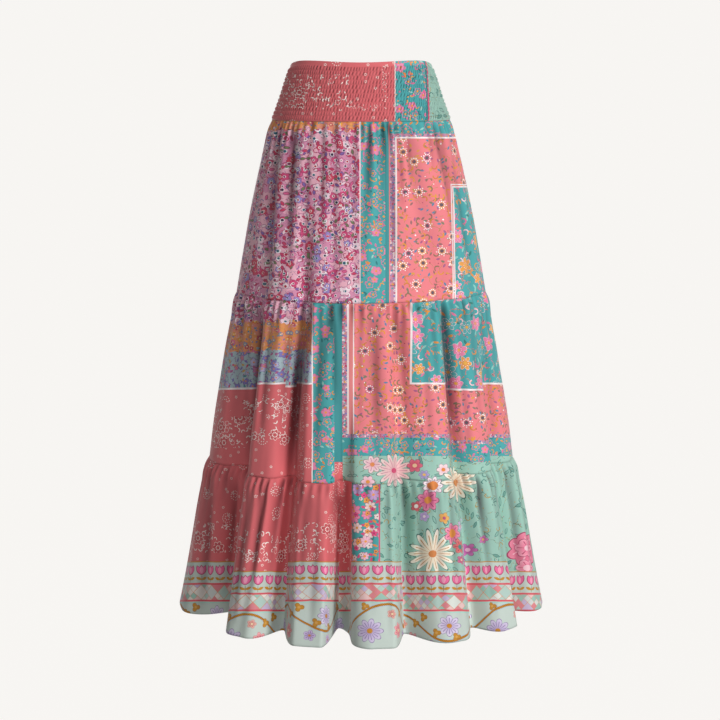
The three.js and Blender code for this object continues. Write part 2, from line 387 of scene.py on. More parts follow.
# angle at the top, angle at the foot, start, end, half width, depth
CREASES = {
    "tier_1_front": [
        (17, 14.5, 2, 300, 1.7, 5.0),
        (23, 21, 2, 150, 1.6, 3.4),
        (29, 28, 4, 110, 1.5, 3.6),
        (47, 44, 2, 90, 2.0, 3.2),
        (4, 3, 2, 130, 1.6, 2.4),
        (-4, -3, 6, 310, 1.8, 3.0),
        (-15, -12.5, 4, 300, 2.2, 4.2),
        (-24, -20, 2, 200, 1.8, 3.6),
        (-33, -27, 4, 310, 2.4, 4.6),
        (-46, -36, 2, 260, 2.6, 4.4),
        (-58, -47, 4, 312, 3.0, 4.4),
        (56, 50, 10, 300, 2.8, 3.4),
        (68, 62, 4, 310, 3.0, 3.6),
    ],
    "tier_2_front": [
        (-28, -27.5, 8, 316, 2.4, 9.0),
        (-50, -50.5, 20, 316, 3.2, 8.0),
        (39, 38.5, 10, 316, 2.6, 6.0),
        (-60, -54, 2, 310, 2.2, 4.2),
        (-44, -41, 4, 250, 1.8, 3.6),
        (-33, -31, 2, 300, 1.8, 4.4),
        (-18, -17, 4, 300, 1.6, 3.6),
        (-12, -11, 2, 180, 1.4, 3.2),
        (-1, -1, 4, 220, 1.4, 3.0),
        (6, 5, 2, 300, 1.6, 3.6),
        (17, 17, 6, 250, 1.6, 2.8),
        (27, 26, 2, 310, 1.8, 3.8),
        (33, 31, 4, 160, 1.5, 3.0),
        (46, 44, 2, 310, 1.8, 4.0),
        (55, 53, 6, 240, 2.0, 3.6),
        (70, 67, 4, 300, 2.4, 3.6),
    ],
    "tier_3_front": [
        (-70, -66, 2, 280, 2.4, 4.6),
        (-57, -58, 4, 260, 1.6, 4.0),
        (-44, -43, 2, 270, 1.6, 4.6),
        (-37, -37, 4, 200, 1.3, 4.2),
        (-31, -31, 2, 270, 1.2, 3.6),
        (-20, -20, 4, 200, 1.2, 3.4),
        (-15, -15.5, 2, 270, 1.2, 2.8),
        (3, 3, 4, 240, 1.3, 3.2),
        (9, 8.5, 2, 270, 1.2, 3.4),
        (20, 20, 2, 230, 1.4, 3.6),
        (26, 26, 4, 275, 1.5, 4.0),
        (32, 32, 2, 200, 1.3, 3.2),
        (46, 46, 2, 270, 1.5, 4.2),
        (54, 54, 4, 220, 1.5, 3.6),
        (72, 71, 2, 275, 2.2, 4.2),
    ],
    "tier_1_back": [
        (104, 102, 4, 300, 2.6, 4.2),
        (118, 116, 2, 240, 2.2, 3.8),
        (133, 134, 4, 310, 2.2, 4.4),
        (147, 149, 2, 180, 1.8, 3.4),
        (158, 160, 4, 300, 1.8, 3.8),
        (172, 171, 2, 220, 1.7, 3.2),
        (181, 183, 4, 300, 1.8, 4.0),
        (195, 194, 2, 170, 1.8, 3.4),
        (209, 211, 4, 310, 2.2, 4.2),
        (224, 226, 2, 250, 2.4, 3.8),
        (241, 243, 4, 300, 2.6, 4.2),
        (255, 256, 2, 240, 2.8, 3.6),
    ],
    "tier_2_back": [
        (101, 102, 4, 300, 2.2, 3.8),
        (117, 117, 2, 310, 2.0, 4.2),
        (134, 135, 4, 250, 1.8, 3.8),
        (142, 141, 2, 310, 1.7, 3.4),
        (157, 156, 4, 280, 1.6, 3.8),
        (176, 175, 2, 310, 1.6, 4.0),
        (194, 195, 4, 240, 1.6, 3.4),
        (200, 199, 2, 300, 1.6, 3.8),
        (217, 218, 4, 310, 1.8, 4.2),
        (238, 237, 2, 260, 2.0, 3.8),
        (260, 262, 4, 300, 2.4, 4.0),
    ],
    "tier_3_back": [
        (99, 99, 2, 270, 2.0, 4.2),
        (116, 117, 4, 260, 1.6, 4.0),
        (122, 121, 2, 270, 1.4, 3.6),
        (137, 138, 4, 240, 1.5, 4.2),
        (143, 142, 2, 275, 1.3, 3.6),
        (156, 157, 4, 260, 1.3, 4.0),
        (172, 173, 2, 270, 1.3, 3.8),
        (178, 178, 4, 220, 1.3, 3.4),
        (195, 195, 2, 275, 1.4, 4.0),
        (216, 215, 4, 250, 1.5, 4.2),
        (222, 222, 2, 270, 1.4, 3.6),
        (238, 239, 4, 270, 1.7, 4.2),
        (262, 261, 2, 270, 2.0, 4.0),
    ],
}


def band_rows():
    """The band's rows, as shares of its height, with each one's share of the way from one elastic
    row to the next. Above the first elastic row and below the last one the cloth is plain."""
    pitch = (BAND_HEIGHT - SHIRR_HEADER - SHIRR_MARGIN) / SHIRR_ROWS
    fine = np.arange(SHIRR_ROWS * ROWS_A_PUCKER + 1) / ROWS_A_PUCKER
    header = [0, 0.8, 3, 6]
    foot = [BAND_HEIGHT - 1, BAND_HEIGHT - SEAM_GAP / 2]
    below = np.concatenate([header, SHIRR_HEADER + fine * pitch, foot])
    row = np.concatenate([[0] * len(header), fine, [SHIRR_ROWS] * len(foot)])
    return below / BAND_HEIGHT, row


def band_surface(half):
    """The shirred band: an oval ring that widens downwards. Between two elastic rows the cloth
    stands out by a sine arch, which narrow leaning troughs part into puckers, staggered from row to
    row."""
    share, row = band_rows()
    foot_width, foot_depth = BAND_SECTIONS[-1][1:]

    def edge(angle):
        return ring_point(foot_width, foot_depth, angle, -BAND_HEIGHT, 0, 0)

    angle, down = np.meshgrid(column_angles(half, BAND_COLUMNS, edge, edge), share)
    row = np.broadcast_to(row[:, None], angle.shape)
    width, depth = section_at(BAND_SECTIONS, down)
    rim = RIM_RISE - RIM_CENTRE_DIP * np.cos(angle) ** 6 - RIM_SIDE_DIP * np.sin(angle) ** 14
    height = rim + (-BAND_HEIGHT + SEAM_GAP / 2 - rim) * down
    number = np.minimum(np.floor(row), SHIRR_ROWS - 1)
    part = row - number
    shirred = (row > 0) & (row < SHIRR_ROWS)
    round_place = (angle - half_turn(half) - SIDE) * (width + depth) / 2
    phase = round_place / PUCKER_PITCH + 0.37 * number + PUCKER_LEAN * part
    phase = phase + 0.5 * np.sin(round_place / 23 + 2.1 * number)
    phase = phase + 0.2 * np.sin(round_place / 7.3 + 4.4 * number)
    each = np.floor(phase)
    arch = np.sin(math.pi * part) * shirred
    slit = np.exp(-((phase - each - 0.5) / PUCKER_SLIT) ** 2)
    slit = slit * (0.5 + 0.7 * uneven(each + 7 * number, 5.1)) * np.clip(arch, 0, 1) ** 0.5
    raised = SHIRR_DEPTH * (np.clip(arch, 0, 1) ** 0.45 - PUCKER_SHARE * slit)
    points = ring_point(width, depth, angle, height, raised, 0)
    plain = ring_point(width, depth, angle, height, 0, 0)
    across = print_across(width, angle)
    # Painted shade: how far the colour is darkened, most in the puckers' slits and beside the
    # elastic rows.
    hollow = np.clip(1.25 * slit + 0.25 * (1 - np.clip(arch, 0, 1) ** 0.3) * (row > 0), 0, 1)
    unmoved = np.zeros((len(share), angle.shape[1] - 1))
    return points, across, across, print_level(plain), unmoved, unmoved, hollow


def tier_surface(name, half):
    """A gathered tier: an oval ring that widens downwards, with the large folds, the gathers and
    the listed creases drawn in from it."""
    tier = TIERS[name]
    top, bottom = tier["top"] - SEAM_GAP / 2, tier["bottom"] + SEAM_GAP / 2
    rows = tier["sections"]
    lobes = [(lobe[0], lobe[tier["number"]]) for lobe in LOBES if lobe[tier["number"]] is not None]

    def upper_edge(angle):
        return ring_point(*rows[0][1:], angle, top, 0, fold_depth(angle, top))

    def lower_edge(angle):
        return ring_point(*rows[-1][1:], angle, bottom, 0, fold_depth(angle, bottom))

    starts = [start for start, _ in lobes]
    angles = column_angles(half, tier["columns"], upper_edge, lower_edge, starts)
    share = np.linspace(0, 1, tier["rows"] + 1) ** ROW_CROWDING
    angle, down = np.meshgrid(angles, share)
    width, depth = section_at(rows, down)
    height = top + down * (bottom - top)
    folds = fold_depth(angle, height)
    small = gathers_at(tier, angle, down) + creases_at(CREASES[f"{name}_{half}"], tier, angle, down)
    small = small + SEAM_TUCK * np.exp(-down * TUCK_FADE)
    points = ring_point(width, depth, angle, height, -small, folds)
    smooth = ring_point(width, depth, angle, height, 0, folds)

    # The print follows the cloth's own length into the folds.
    across = print_across(width, angle)
    step = np.abs(np.diff(across, axis=1))
    hidden = np.hypot(step, np.diff(folds, axis=1)) - step
    hidden = np.concatenate([np.zeros((len(share), 1)), np.cumsum(hidden, axis=1)], axis=1)
    moved, drop = lobe_moves(lobes, angles, share, hidden)
    # Painted shade: the colour is darkened more where the gathers and creases draw the cloth in
    # deeper.
    hollow = np.clip(small / DARKEST_SHADE_DEPTH, 0, 1) ** 1.3
    return points, across, across + hidden, print_level(smooth), moved, drop, hollow


def lobe_moves(lobes, angles, share, hidden):
    """How far each lobe's print is moved along and down, for every row and every column of quads.
    It is moved along so that it is in place on the lobe's crest, and down as the cloth between the
    lobes is hidden."""
    middle = (angles[1:] + angles[:-1]) / 2
    lobe = np.searchsorted(np.radians([start for start, _ in lobes]), middle, side="right") - 1
    moved = np.zeros((len(hidden), len(middle)))
    drop = np.zeros(moved.shape)
    for number in np.unique(lobe):
        columns = np.flatnonzero(lobe == number)
        first, last = columns[0], columns[-1] + 1
        half_way = (hidden[-1, first] + hidden[-1, last]) / 2
        crest = first + np.argmin(np.abs(hidden[-1, first:last + 1] - half_way))
        moved[:, columns] = -hidden[:, crest, None]
        taken_up = np.clip((hidden[:, last] - hidden[:, first]) / STEP_FULL, 0, 1)
        taken_up = taken_up * np.clip(share / STEP_START, 0, 1) ** 2
        drop[:, columns] = (lobes[number][1] * taken_up)[:, None]
    return moved, drop


def sheet_object(name, points, loops):
    """A mesh from a grid of points, with one quad between each four. loops holds, for each named
    map, the four corners' places of every quad."""
    rows, columns = points.shape[:2]
    mesh = bpy.data.meshes.new(name)
    index = np.arange(rows * columns).reshape(rows, columns)
    quads = corners(index).reshape(-1, 4)
    mesh.from_pydata((points.reshape(-1, 3) * MM).tolist(), [], quads.tolist())
    mesh.polygons.foreach_set("use_smooth", np.ones(len(quads), bool))
    for title, places in loops.items():
        layer = mesh.uv_layers.new(name=title)
        layer.uv.foreach_set("vector", (places.reshape(-1, 2) * MM).astype(np.float32).ravel())
    mesh.update()
    piece = bpy.data.objects.new(name, mesh)
    bpy.context.scene.collection.objects.link(piece)
    return piece


def corners(grid):
    """The four corners' values of every quad of a grid, in the quad's own order."""
    return np.stack([grid[:-1, :-1], grid[1:, :-1], grid[1:, 1:], grid[:-1, 1:]], axis=-1)


def column_corners(grid):
    """The same from values that each column of quads has on every row of points."""
    return np.stack([grid[:-1], grid[1:], grid[1:], grid[:-1]], axis=-1)


def lay_prints(piece, name, across, level):
    """Gives every quad the printed cloth of its own part of the piece, and the piece one reverse for
    each part. Returns the number of parts."""
    across_cuts, level_cuts = PATCH_CUTS[name]
    across_parts = list(zip((None, *across_cuts), (*across_cuts, None)))
    level_parts = list(zip((*level_cuts, None), (None, *level_cuts)))
    for level_part in level_parts:
        for across_part in across_parts:
            piece.data.materials.append(printed_viscose(name, across_part, level_part))
    count = len(piece.data.materials)
    for _ in range(count):
        piece.data.materials.append(reverse_viscose())
    column = np.searchsorted(across_cuts, across.mean(axis=-1))
    row = np.searchsorted([-cut for cut in level_cuts], -level.mean(axis=-1))
    part = (row * len(across_parts) + column).ravel()
    piece.data.polygons.foreach_set("material_index", part.astype(np.int32))
    return count


def cloth_piece(name, half, surface):
    """One half of a piece as a sheet of cloth, printed outside."""
    points, across, along, level, moved, drop, hollow = surface
    across_corner = corners(across)
    level_corner = corners(level) + column_corners(drop)
    loops = {
        "print": np.stack([corners(along) + column_corners(moved), level_corner], axis=-1),
        "patches": np.stack([across_corner, level_corner], axis=-1),
    }
    piece = sheet_object(f"{name}_{half}_cloth", points, loops)
    # The painted shade of the gathers and puckers, kept on the mesh for the cloth's material.
    crease_shade_layer = piece.data.attributes.new("hollow", "FLOAT", "POINT")
    crease_shade_layer.data.foreach_set("value", hollow.astype(np.float32).ravel())
    parts = lay_prints(piece, f"{name}_{half}", across_corner, level_corner)
    thick = piece.modifiers.new("cloth", "SOLIDIFY")
    thick.thickness = bpy.context.scene.skirt.cloth_thickness
    thick.offset = -1
    thick.material_offset = parts
    thick.material_offset_rim = 0
    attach(piece, "root")
    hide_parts(f"{name}_{half}")


def add(tree, kind, *values, out=0, stops=(), **settings):
    """Adds a node and gives one of its outputs. kind is the node's type, and its operation where it
    has one. Each value fills or links a socket, in their order, or by name where it stands in a
    dictionary."""
    kind, *operation = kind.split()
    node = tree.nodes.new("ShaderNode" + kind)
    if operation:
        node.operation = operation[0]
    for name, value in settings.items():
        setattr(node, name, value)
    sockets = {}
    for number, value in enumerate(values):
        sockets.update(value if isinstance(value, dict) else {number: value})
    if kind == "Mix":
        node.data_type = "RGBA"
        sockets = {MIX_SOCKETS.get(number): value for number, value in sockets.items()}
        out = 2
    for name, value in sockets.items():
        if isinstance(value, bpy.types.NodeSocket):
            tree.links.new(value, node.inputs[name])
        else:
            node.inputs[name].default_value = colour(value) if isinstance(value, str) else value
    if stops:
        node.color_ramp.interpolation = "CONSTANT"
    for number, code in enumerate(stops):
        if number > 1:
            node.color_ramp.elements.new(1.0)
        node.color_ramp.elements[number].position = number / len(stops)
        node.color_ramp.elements[number].color = colour(code)
    return node.outputs[out] if node.outputs else node


def new_material(name):
    """A material without nodes yet, and its node tree."""
    material = bpy.data.materials.new(name)
    material.use_nodes = True
    material.node_tree.nodes.clear()
    return material, material.node_tree


def chosen(setting):
    """One of the panel's colours, with its alpha."""
    return tuple(getattr(bpy.context.scene.skirt, setting)) + (1,)


def one_of(tree, number, fills):
    """One of some colours, picked by a number from 0 to 1."""
    return fills[0] if len(fills) == 1 else add(tree, "ValToRGB", number, stops=fills)


def scatter(tree, cloth, cell, shift, jitter=0.7):
    """Cuts the cloth into cells, each with a point of its own. Gives the distance and angle from
    that point, in cells and radians, each cell's angle turned at random, and two random numbers."""
    scaled = add(tree, "Mapping", {"Vector": cloth, "Location": (shift, 0.7 * shift, 0),
                                   "Scale": (1 / cell / MM,) * 3})
    spot = add(tree, "TexVoronoi", {"Vector": scaled, "Scale": 1.0, "Randomness": jitter},
               out="Position", voronoi_dimensions="2D")
    random = add(tree, "SeparateColor", spot.node.outputs["Color"])
    place = add(tree, "VectorMath SUBTRACT", scaled, spot)
    parts = add(tree, "SeparateXYZ", place)
    angle = add(tree, "Math ARCTAN2", parts.node.outputs[1], parts)
    turned = add(tree, "Math MULTIPLY_ADD", random.node.outputs[1], FULL_TURN, angle)
    away = add(tree, "VectorMath LENGTH", place, out="Value")
    return {"away": away, "angle": turned, "pick": random, "chance": random.node.outputs[2]}


def single(tree, cloth, x, y, size, repeat=None, pick=0.5):
    """The same measures from one place on the cloth, in millimetres, for a motif of a size. With
    repeat it comes again at that spacing across the cloth."""
    moved = add(tree, "Mapping", {"Vector": cloth, "Location": (-x * MM, -y * MM, 0)})
    parts = add(tree, "SeparateXYZ", moved)
    across, up = parts, parts.node.outputs[1]
    if repeat:
        across = add(tree, "Math WRAP", across, repeat * MM / 2, -repeat * MM / 2)
    angle = add(tree, "Math ARCTAN2", up, across)
    square = add(tree, "Math MULTIPLY", up, up)
    square = add(tree, "Math MULTIPLY_ADD", across, across, square)
    away = add(tree, "Math DIVIDE", add(tree, "Math SQRT", square), size * MM)
    return {"away": away, "angle": angle, "pick": pick, "chance": 0.0}


def blossom(tree, under, at, petals, size, fills, rim="#FFFFFF", line=0.05, heart="#E8A13A",
            heart_size=0.28, share=1.0, notch=0.35, veins=None, tip=None, ribs=None):
    """A flower: the radius swells and shrinks with the cosine of the angle, once for each petal.
    Its colour may pass to another at the petals' tips, with veins between the petals and ribs along
    them."""
    here = add(tree, "Math LESS_THAN", at["chance"], share)
    wave = add(tree, "Math COSINE", add(tree, "Math MULTIPLY", at["angle"], petals / 2))
    wave = add(tree, "Math ABSOLUTE", wave)
    edge = add(tree, "Math MULTIPLY_ADD", wave, size * notch, size * (1 - notch))
    if share < 1:
        grow = add(tree, "Math MULTIPLY_ADD", at["chance"], 0.6 / share, 0.7)
        edge = add(tree, "Math MULTIPLY", edge, add(tree, "Math MULTIPLY", grow, here))
    beyond = add(tree, "Math SUBTRACT", at["away"], edge)
    inside = add(tree, "Math LESS_THAN", beyond, 0.0)
    fill = one_of(tree, at["pick"], fills)
    if tip:
        fill = add(tree, "Mix", add(tree, "Math DIVIDE", at["away"], size), fill, tip)
    if rim:
        outline = add(tree, "Math LESS_THAN", beyond, line * size * 2)
        under = add(tree, "Mix", add(tree, "Math MULTIPLY", outline, here), under, rim)
    under = add(tree, "Mix", inside, under, fill)
    if veins:
        thin = add(tree, "Math MULTIPLY", add(tree, "Math LESS_THAN", wave, 0.16), inside)
        under = add(tree, "Mix", thin, under, veins)
    if ribs:
        rib = add(tree, "Math GREATER_THAN", wave, 0.985)
        thin = add(tree, "Math MULTIPLY", rib, add(tree, "Math LESS_THAN", at["away"], 0.78 * size))
        under = add(tree, "Mix", thin, under, ribs)
    if heart:
        middle = add(tree, "Math LESS_THAN", at["away"], heart_size * size)
        under = add(tree, "Mix", add(tree, "Math MULTIPLY", middle, here), under, heart)
    return under


def leaf(tree, under, at, length, width, fills, share=1.0, rim=None, offset=0.0):
    """A leaf: a lens, where the distance from its rib and the square of the distance along it add
    up to one."""
    here = add(tree, "Math LESS_THAN", at["chance"], share)
    along = add(tree, "Math MULTIPLY", at["away"], add(tree, "Math COSINE", at["angle"]))
    across = add(tree, "Math MULTIPLY", at["away"], add(tree, "Math SINE", at["angle"]))
    along = add(tree, "Math MULTIPLY_ADD", along, 1 / length, offset)
    across = add(tree, "Math ABSOLUTE", add(tree, "Math MULTIPLY", across, 1 / width))
    lens = add(tree, "Math MULTIPLY_ADD", along, along, across)
    fill = one_of(tree, at["pick"], fills)
    if rim:
        outline = add(tree, "Math MULTIPLY", add(tree, "Math LESS_THAN", lens, 1.5), here)
        under = add(tree, "Mix", outline, under, rim)
    inside = add(tree, "Math MULTIPLY", add(tree, "Math LESS_THAN", lens, 1.0), here)
    return add(tree, "Mix", inside, under, fill)


def dot_ring(tree, under, at, count, radius, dot, fills, share=1.0):
    """A ring of dots: the angle is cut into equal parts, with one dot in the middle of each."""
    here = add(tree, "Math LESS_THAN", at["chance"], share)
    part = add(tree, "Math FRACT", add(tree, "Math MULTIPLY", at["angle"], count / FULL_TURN))
    sideways = add(tree, "Math SUBTRACT", part, 0.5)
    sideways = add(tree, "Math MULTIPLY", sideways, FULL_TURN * radius / count)
    outward = add(tree, "Math SUBTRACT", at["away"], radius)
    square = add(tree, "Math MULTIPLY", outward, outward)
    square = add(tree, "Math MULTIPLY_ADD", sideways, sideways, square)
    inside = add(tree, "Math MULTIPLY", add(tree, "Math LESS_THAN", square, dot * dot), here)
    fill = one_of(tree, at["pick"], fills)
    return add(tree, "Mix", inside, under, fill)


def curl(tree, under, at, radius, line, fills, share=1.0, open_part=-0.2):
    """A curl: part of a thin ring, open on one side."""
    here = add(tree, "Math LESS_THAN", at["chance"], share)
    away = add(tree, "Math ABSOLUTE", add(tree, "Math SUBTRACT", at["away"], radius))
    thin = add(tree, "Math LESS_THAN", away, line)
    kept = add(tree, "Math GREATER_THAN", add(tree, "Math COSINE", at["angle"]), open_part)
    inside = add(tree, "Math MULTIPLY", add(tree, "Math MULTIPLY", thin, kept), here)
    fill = one_of(tree, at["pick"], fills)
    return add(tree, "Mix", inside, under, fill)


def sprig(tree, under, cloth, cell, line, fills, shift, broken=0.5):
    """Fine stems: the borders between uneven cells, bent by a soft noise and broken in places."""
    scaled = add(tree, "Mapping", {"Vector": cloth, "Location": (shift, -shift, 0),
                                   "Scale": (1 / cell / MM,) * 3})
    bend = add(tree, "TexNoise", {"Vector": scaled, "Scale": 1.6, "Detail": 1.0}, out="Color",
               noise_dimensions="2D")
    bent = add(tree, "VectorMath MULTIPLY_ADD", bend, (0.7, 0.7, 0.0), scaled)
    border = add(tree, "TexVoronoi", {"Vector": bent, "Scale": 1.0, "Randomness": 1.0},
                 voronoi_dimensions="2D", feature="DISTANCE_TO_EDGE")
    thin = add(tree, "Math LESS_THAN", border, line)
    gaps = add(tree, "TexNoise", {"Vector": scaled, "Scale": 2.3, "Detail": 0.0},
               noise_dimensions="2D")
    kept = add(tree, "Math GREATER_THAN", gaps, broken)
    fill = one_of(tree, add(tree, "Math FRACT", add(tree, "Math MULTIPLY", gaps, 9.0)), fills)
    return add(tree, "Mix", add(tree, "Math MULTIPLY", thin, kept), under, fill)


def coral_print(tree, cloth):
    """Coral bandana: rings of white dots, small outlined flowers and curls, thinly spread."""
    ground = chosen("coral")
    at = scatter(tree, cloth, 19, 3.1, 0.8)
    print_ = dot_ring(tree, ground, at, 5, 0.1, 0.045, ["#F6E3DC"], share=0.5)
    at = scatter(tree, cloth, 46, 8.3, 0.7)
    print_ = dot_ring(tree, print_, at, 14, 0.2, 0.02, ["#F8E9E2"], share=0.42)
    return dot_ring(tree, print_, at, 6, 0.09, 0.022, ["#F8E9E2"], share=0.42)


def coral_dotted_print(tree, cloth):
    """Coral bandana's column of small white dots and dashes."""
    ground = chosen("coral")
    at = scatter(tree, cloth, 5.2, 2.1, 0.9)
    print_ = leaf(tree, ground, at, 0.26, 0.15, ["#F6E3DC"], share=0.55)
    at = scatter(tree, cloth, 15, 4.4, 0.6)
    return dot_ring(tree, print_, at, 6, 0.2, 0.05, ["#F6E3DC"], share=0.5)


def coral_dense_print(tree, cloth):
    """Coral bandana where it is full of outlined flowers, curls and small leaves. They thin out in
    places."""
    ground = chosen("coral")
    white = ["#FCEFE9"]
    at = scatter(tree, cloth, 12, 5.5, 1.0)
    print_ = curl(tree, ground, at, 0.27, 0.065, white, share=0.68, open_part=-0.1)
    at = scatter(tree, cloth, 10, 1.2, 1.0)
    print_ = leaf(tree, print_, at, 0.3, 0.09, white, share=0.45)
    at = scatter(tree, cloth, 36, 2.4, 0.8)
    print_ = blossom(tree, print_, at, 7, 0.27, ["#C9565B"], rim=white[0], line=0.055, heart=None,
                     share=0.7)
    print_ = dot_ring(tree, print_, at, 9, 0.12, 0.03, white, share=0.7)
    at = scatter(tree, cloth, 21, 9.4, 0.9)
    print_ = dot_ring(tree, print_, at, 8, 0.2, 0.04, white, share=0.4)
    thin = add(tree, "TexNoise", {"Vector": cloth, "Scale": 26.0, "Detail": 1.0},
               noise_dimensions="2D")
    return add(tree, "Mix", add(tree, "Math GREATER_THAN", thin, 0.37), ground, print_)


def rose_print(tree, cloth):
    """Rose ground crowded with small flowers, ringed dots, leaves and fine outlines, paler in some
    places."""
    ground = chosen("rose")
    drift = add(tree, "TexNoise", {"Vector": cloth, "Scale": 17.0, "Detail": 1.0},
                noise_dimensions="2D")
    ground = add(tree, "Mix", add(tree, "Math GREATER_THAN", drift, 0.54), ground, "#D98FB0")
    print_ = sprig(tree, ground, cloth, 12, 0.05, ["#B23D6B", "#C84A78", "#7A5A9A", "#F7EDF0"], 2.0,
                   broken=0.42)
    at = scatter(tree, cloth, 10, 4.0, 1.0)
    print_ = leaf(tree, print_, at, 0.46, 0.2, ["#C0395F", "#DD5F92", "#6E7F58", "#7D63A8",
                                                "#D23A63", "#F2D5DF"], share=0.8, rim="#8E3560")
    at = scatter(tree, cloth, 18, 7.0, 1.0)
    print_ = blossom(tree, print_, at, 5, 0.38, ["#E78DB6", "#D2477A", "#F1D3DF", "#9A88C6",
                                                 "#CF3F5C"], rim="#8E2F5C", line=0.05,
                     heart="#F6EDEE", heart_size=0.36, share=0.7, notch=0.3)
    print_ = blossom(tree, print_, at, 2, 0.1, ["#8E2F5C", "#2F5E74", "#C22C4B"], rim=None,
                     heart=None, share=0.7)
    at = scatter(tree, cloth, 11, 9.0, 1.0)
    print_ = blossom(tree, print_, at, 2, 0.2, ["#3E2B4A", "#2F5E74", "#B32B4B", "#7C2E5A"],
                     rim="#F7EEF0", line=0.2, heart=None, share=0.4, notch=0.1)
    at = scatter(tree, cloth, 14, 12.0, 1.0)
    return curl(tree, print_, at, 0.3, 0.045, ["#B52A58", "#FFFFFF", "#6C4F92", "#D7557C"],
                share=0.75)


def orange_print(tree, cloth):
    """Orange ground with golden curls and pink and blue bits."""
    drift = add(tree, "TexNoise", {"Vector": cloth, "Scale": 30.0}, noise_dimensions="2D")
    ground = add(tree, "Mix", add(tree, "Math GREATER_THAN", drift, 0.5), "#E88E76", "#E8965A")
    print_ = sprig(tree, ground, cloth, 13, 0.07, ["#E2A03C", "#EBB24A", "#C2606E"], 5.0,
                   broken=0.4)
    at = scatter(tree, cloth, 9, 1.0, 1.0)
    print_ = curl(tree, print_, at, 0.3, 0.08, ["#E5A23A", "#9A78A8", "#E9B79E", "#DD7FA0"],
                  share=0.7)
    at = scatter(tree, cloth, 12, 4.4, 0.95)
    print_ = blossom(tree, print_, at, 5, 0.36, ["#E07393", "#EFA23C", "#8B93A8", "#C74C60"],
                     rim="#B5583B", line=0.05, heart="#F2D9A8", share=0.6)
    at = scatter(tree, cloth, 6.5, 7.2, 0.9)
    return leaf(tree, print_, at, 0.36, 0.2, ["#6E7FA8", "#E5703F", "#4F93A8", "#F0B79A"],
                share=0.45)


def teal_print(tree, cloth):
    """Teal ground with outlined pink flowers, orange curls and small leaves."""
    ground = chosen("teal")
    at = scatter(tree, cloth, 12, 2.0, 1.0)
    print_ = curl(tree, ground, at, 0.28, 0.085, ["#EE9A3F", "#E0608C", "#EDAA4A", "#2E7F86"],
                  share=0.55)
    at = scatter(tree, cloth, 11, 6.0, 1.0)
    print_ = leaf(tree, print_, at, 0.4, 0.15, ["#EA8A40", "#E66A9A", "#2D7C80", "#9FD3C9"],
                  share=0.5)
    at = scatter(tree, cloth, 22, 5.2, 0.95)
    print_ = blossom(tree, print_, at, 5, 0.33, ["#46A3A6", "#E98CB0", "#5BB0B0", "#4FA9A9"],
                     rim="#EA6C9C", line=0.085, heart="#F0A044", heart_size=0.3, share=0.85,
                     notch=0.4)
    at = scatter(tree, cloth, 9, 11.0, 1.0)
    return blossom(tree, print_, at, 2, 0.15, ["#EFA33F", "#E46C98"], rim=None, heart=None,
                   share=0.28, notch=0.1)


def teal_large_print(tree, cloth):
    """Teal ground with larger, sparser pink and orange flowers on thin stems."""
    ground = chosen("teal")
    print_ = sprig(tree, ground, cloth, 24, 0.035, ["#2E7A80", "#E58A4A", "#E0769C"], 1.5,
                   broken=0.48)
    at = scatter(tree, cloth, 15, 3.3, 1.0)
    print_ = leaf(tree, print_, at, 0.4, 0.14, ["#2F7F78", "#EC963F", "#E8749E", "#8FD0C6"],
                  share=0.6)
    at = scatter(tree, cloth, 19, 14.2, 1.0)
    print_ = curl(tree, print_, at, 0.26, 0.06, ["#F09A3C", "#E56A98", "#F3C9D2"], share=0.6)
    at = scatter(tree, cloth, 40, 7.7, 0.85)
    print_ = blossom(tree, print_, at, 6, 0.3, ["#EE86AC", "#ECA24C", "#55AEB0"], rim="#F6CDD6",
                     line=0.035, heart="#F0B24A", heart_size=0.24, share=0.7, notch=0.5,
                     veins="#C24A74")
    return dot_ring(tree, print_, at, 9, 0.13, 0.018, ["#FFF4EC"], share=0.7)


def salmon_print(tree, cloth):
    """Salmon ground with orange sprays, brown-green leaves and flowers ringed with white dots."""
    ground = chosen("salmon")
    print_ = sprig(tree, ground, cloth, 27, 0.02, ["#D98A50", "#B98A5E"], 8.0, broken=0.53)
    at = scatter(tree, cloth, 11, 4.0, 1.0)
    print_ = leaf(tree, print_, at, 0.38, 0.17, ["#9A6A68", "#E39E48", "#7F8068", "#B0608C",
                                                 "#5F86A4"], share=0.68)
    at = scatter(tree, cloth, 18, 9.1, 1.0)
    print_ = curl(tree, print_, at, 0.26, 0.065, ["#EA9A30", "#D9823A", "#8F7458"], share=0.66)
    at = scatter(tree, cloth, 37, 2.2, 0.85)
    print_ = blossom(tree, print_, at, 6, 0.22, ["#EBA06A", "#DE7088", "#F0A07C"], rim="#C07A70",
                     line=0.03, heart="#6A5560", heart_size=0.42, share=0.62, notch=0.5)
    print_ = dot_ring(tree, print_, at, 10, 0.17, 0.032, ["#FFFFFF"], share=0.62)
    print_ = dot_ring(tree, print_, at, 7, 0.26, 0.025, ["#FFFFFF"], share=0.45)
    at = scatter(tree, cloth, 16, 15.0, 1.0)
    return blossom(tree, print_, at, 2, 0.08, ["#FFFFFF", "#5F86A8", "#B8405E"], rim=None,
                   heart=None, share=0.45, notch=0.1)


def blue_print(tree, cloth):
    """Pale grey-blue ground with small purple, pink and teal outlined flowers."""
    print_ = sprig(tree, "#A9BFC6", cloth, 12, 0.055, ["#7C74A8", "#5D8898", "#B8608C"], 6.0,
                   broken=0.44)
    at = scatter(tree, cloth, 10, 3.0, 1.0)
    print_ = leaf(tree, print_, at, 0.4, 0.18, ["#4F8A92", "#B05A8C", "#776FB0", "#C64A6C",
                                                "#C9A04A"], share=0.75)
    at = scatter(tree, cloth, 15, 8.0, 0.95)
    return blossom(tree, print_, at, 5, 0.36, ["#B9B4D8", "#D07FA8", "#8479BC"], rim="#6A4F88",
                   line=0.06, heart="#E0925A", heart_size=0.28, share=0.75, notch=0.38)


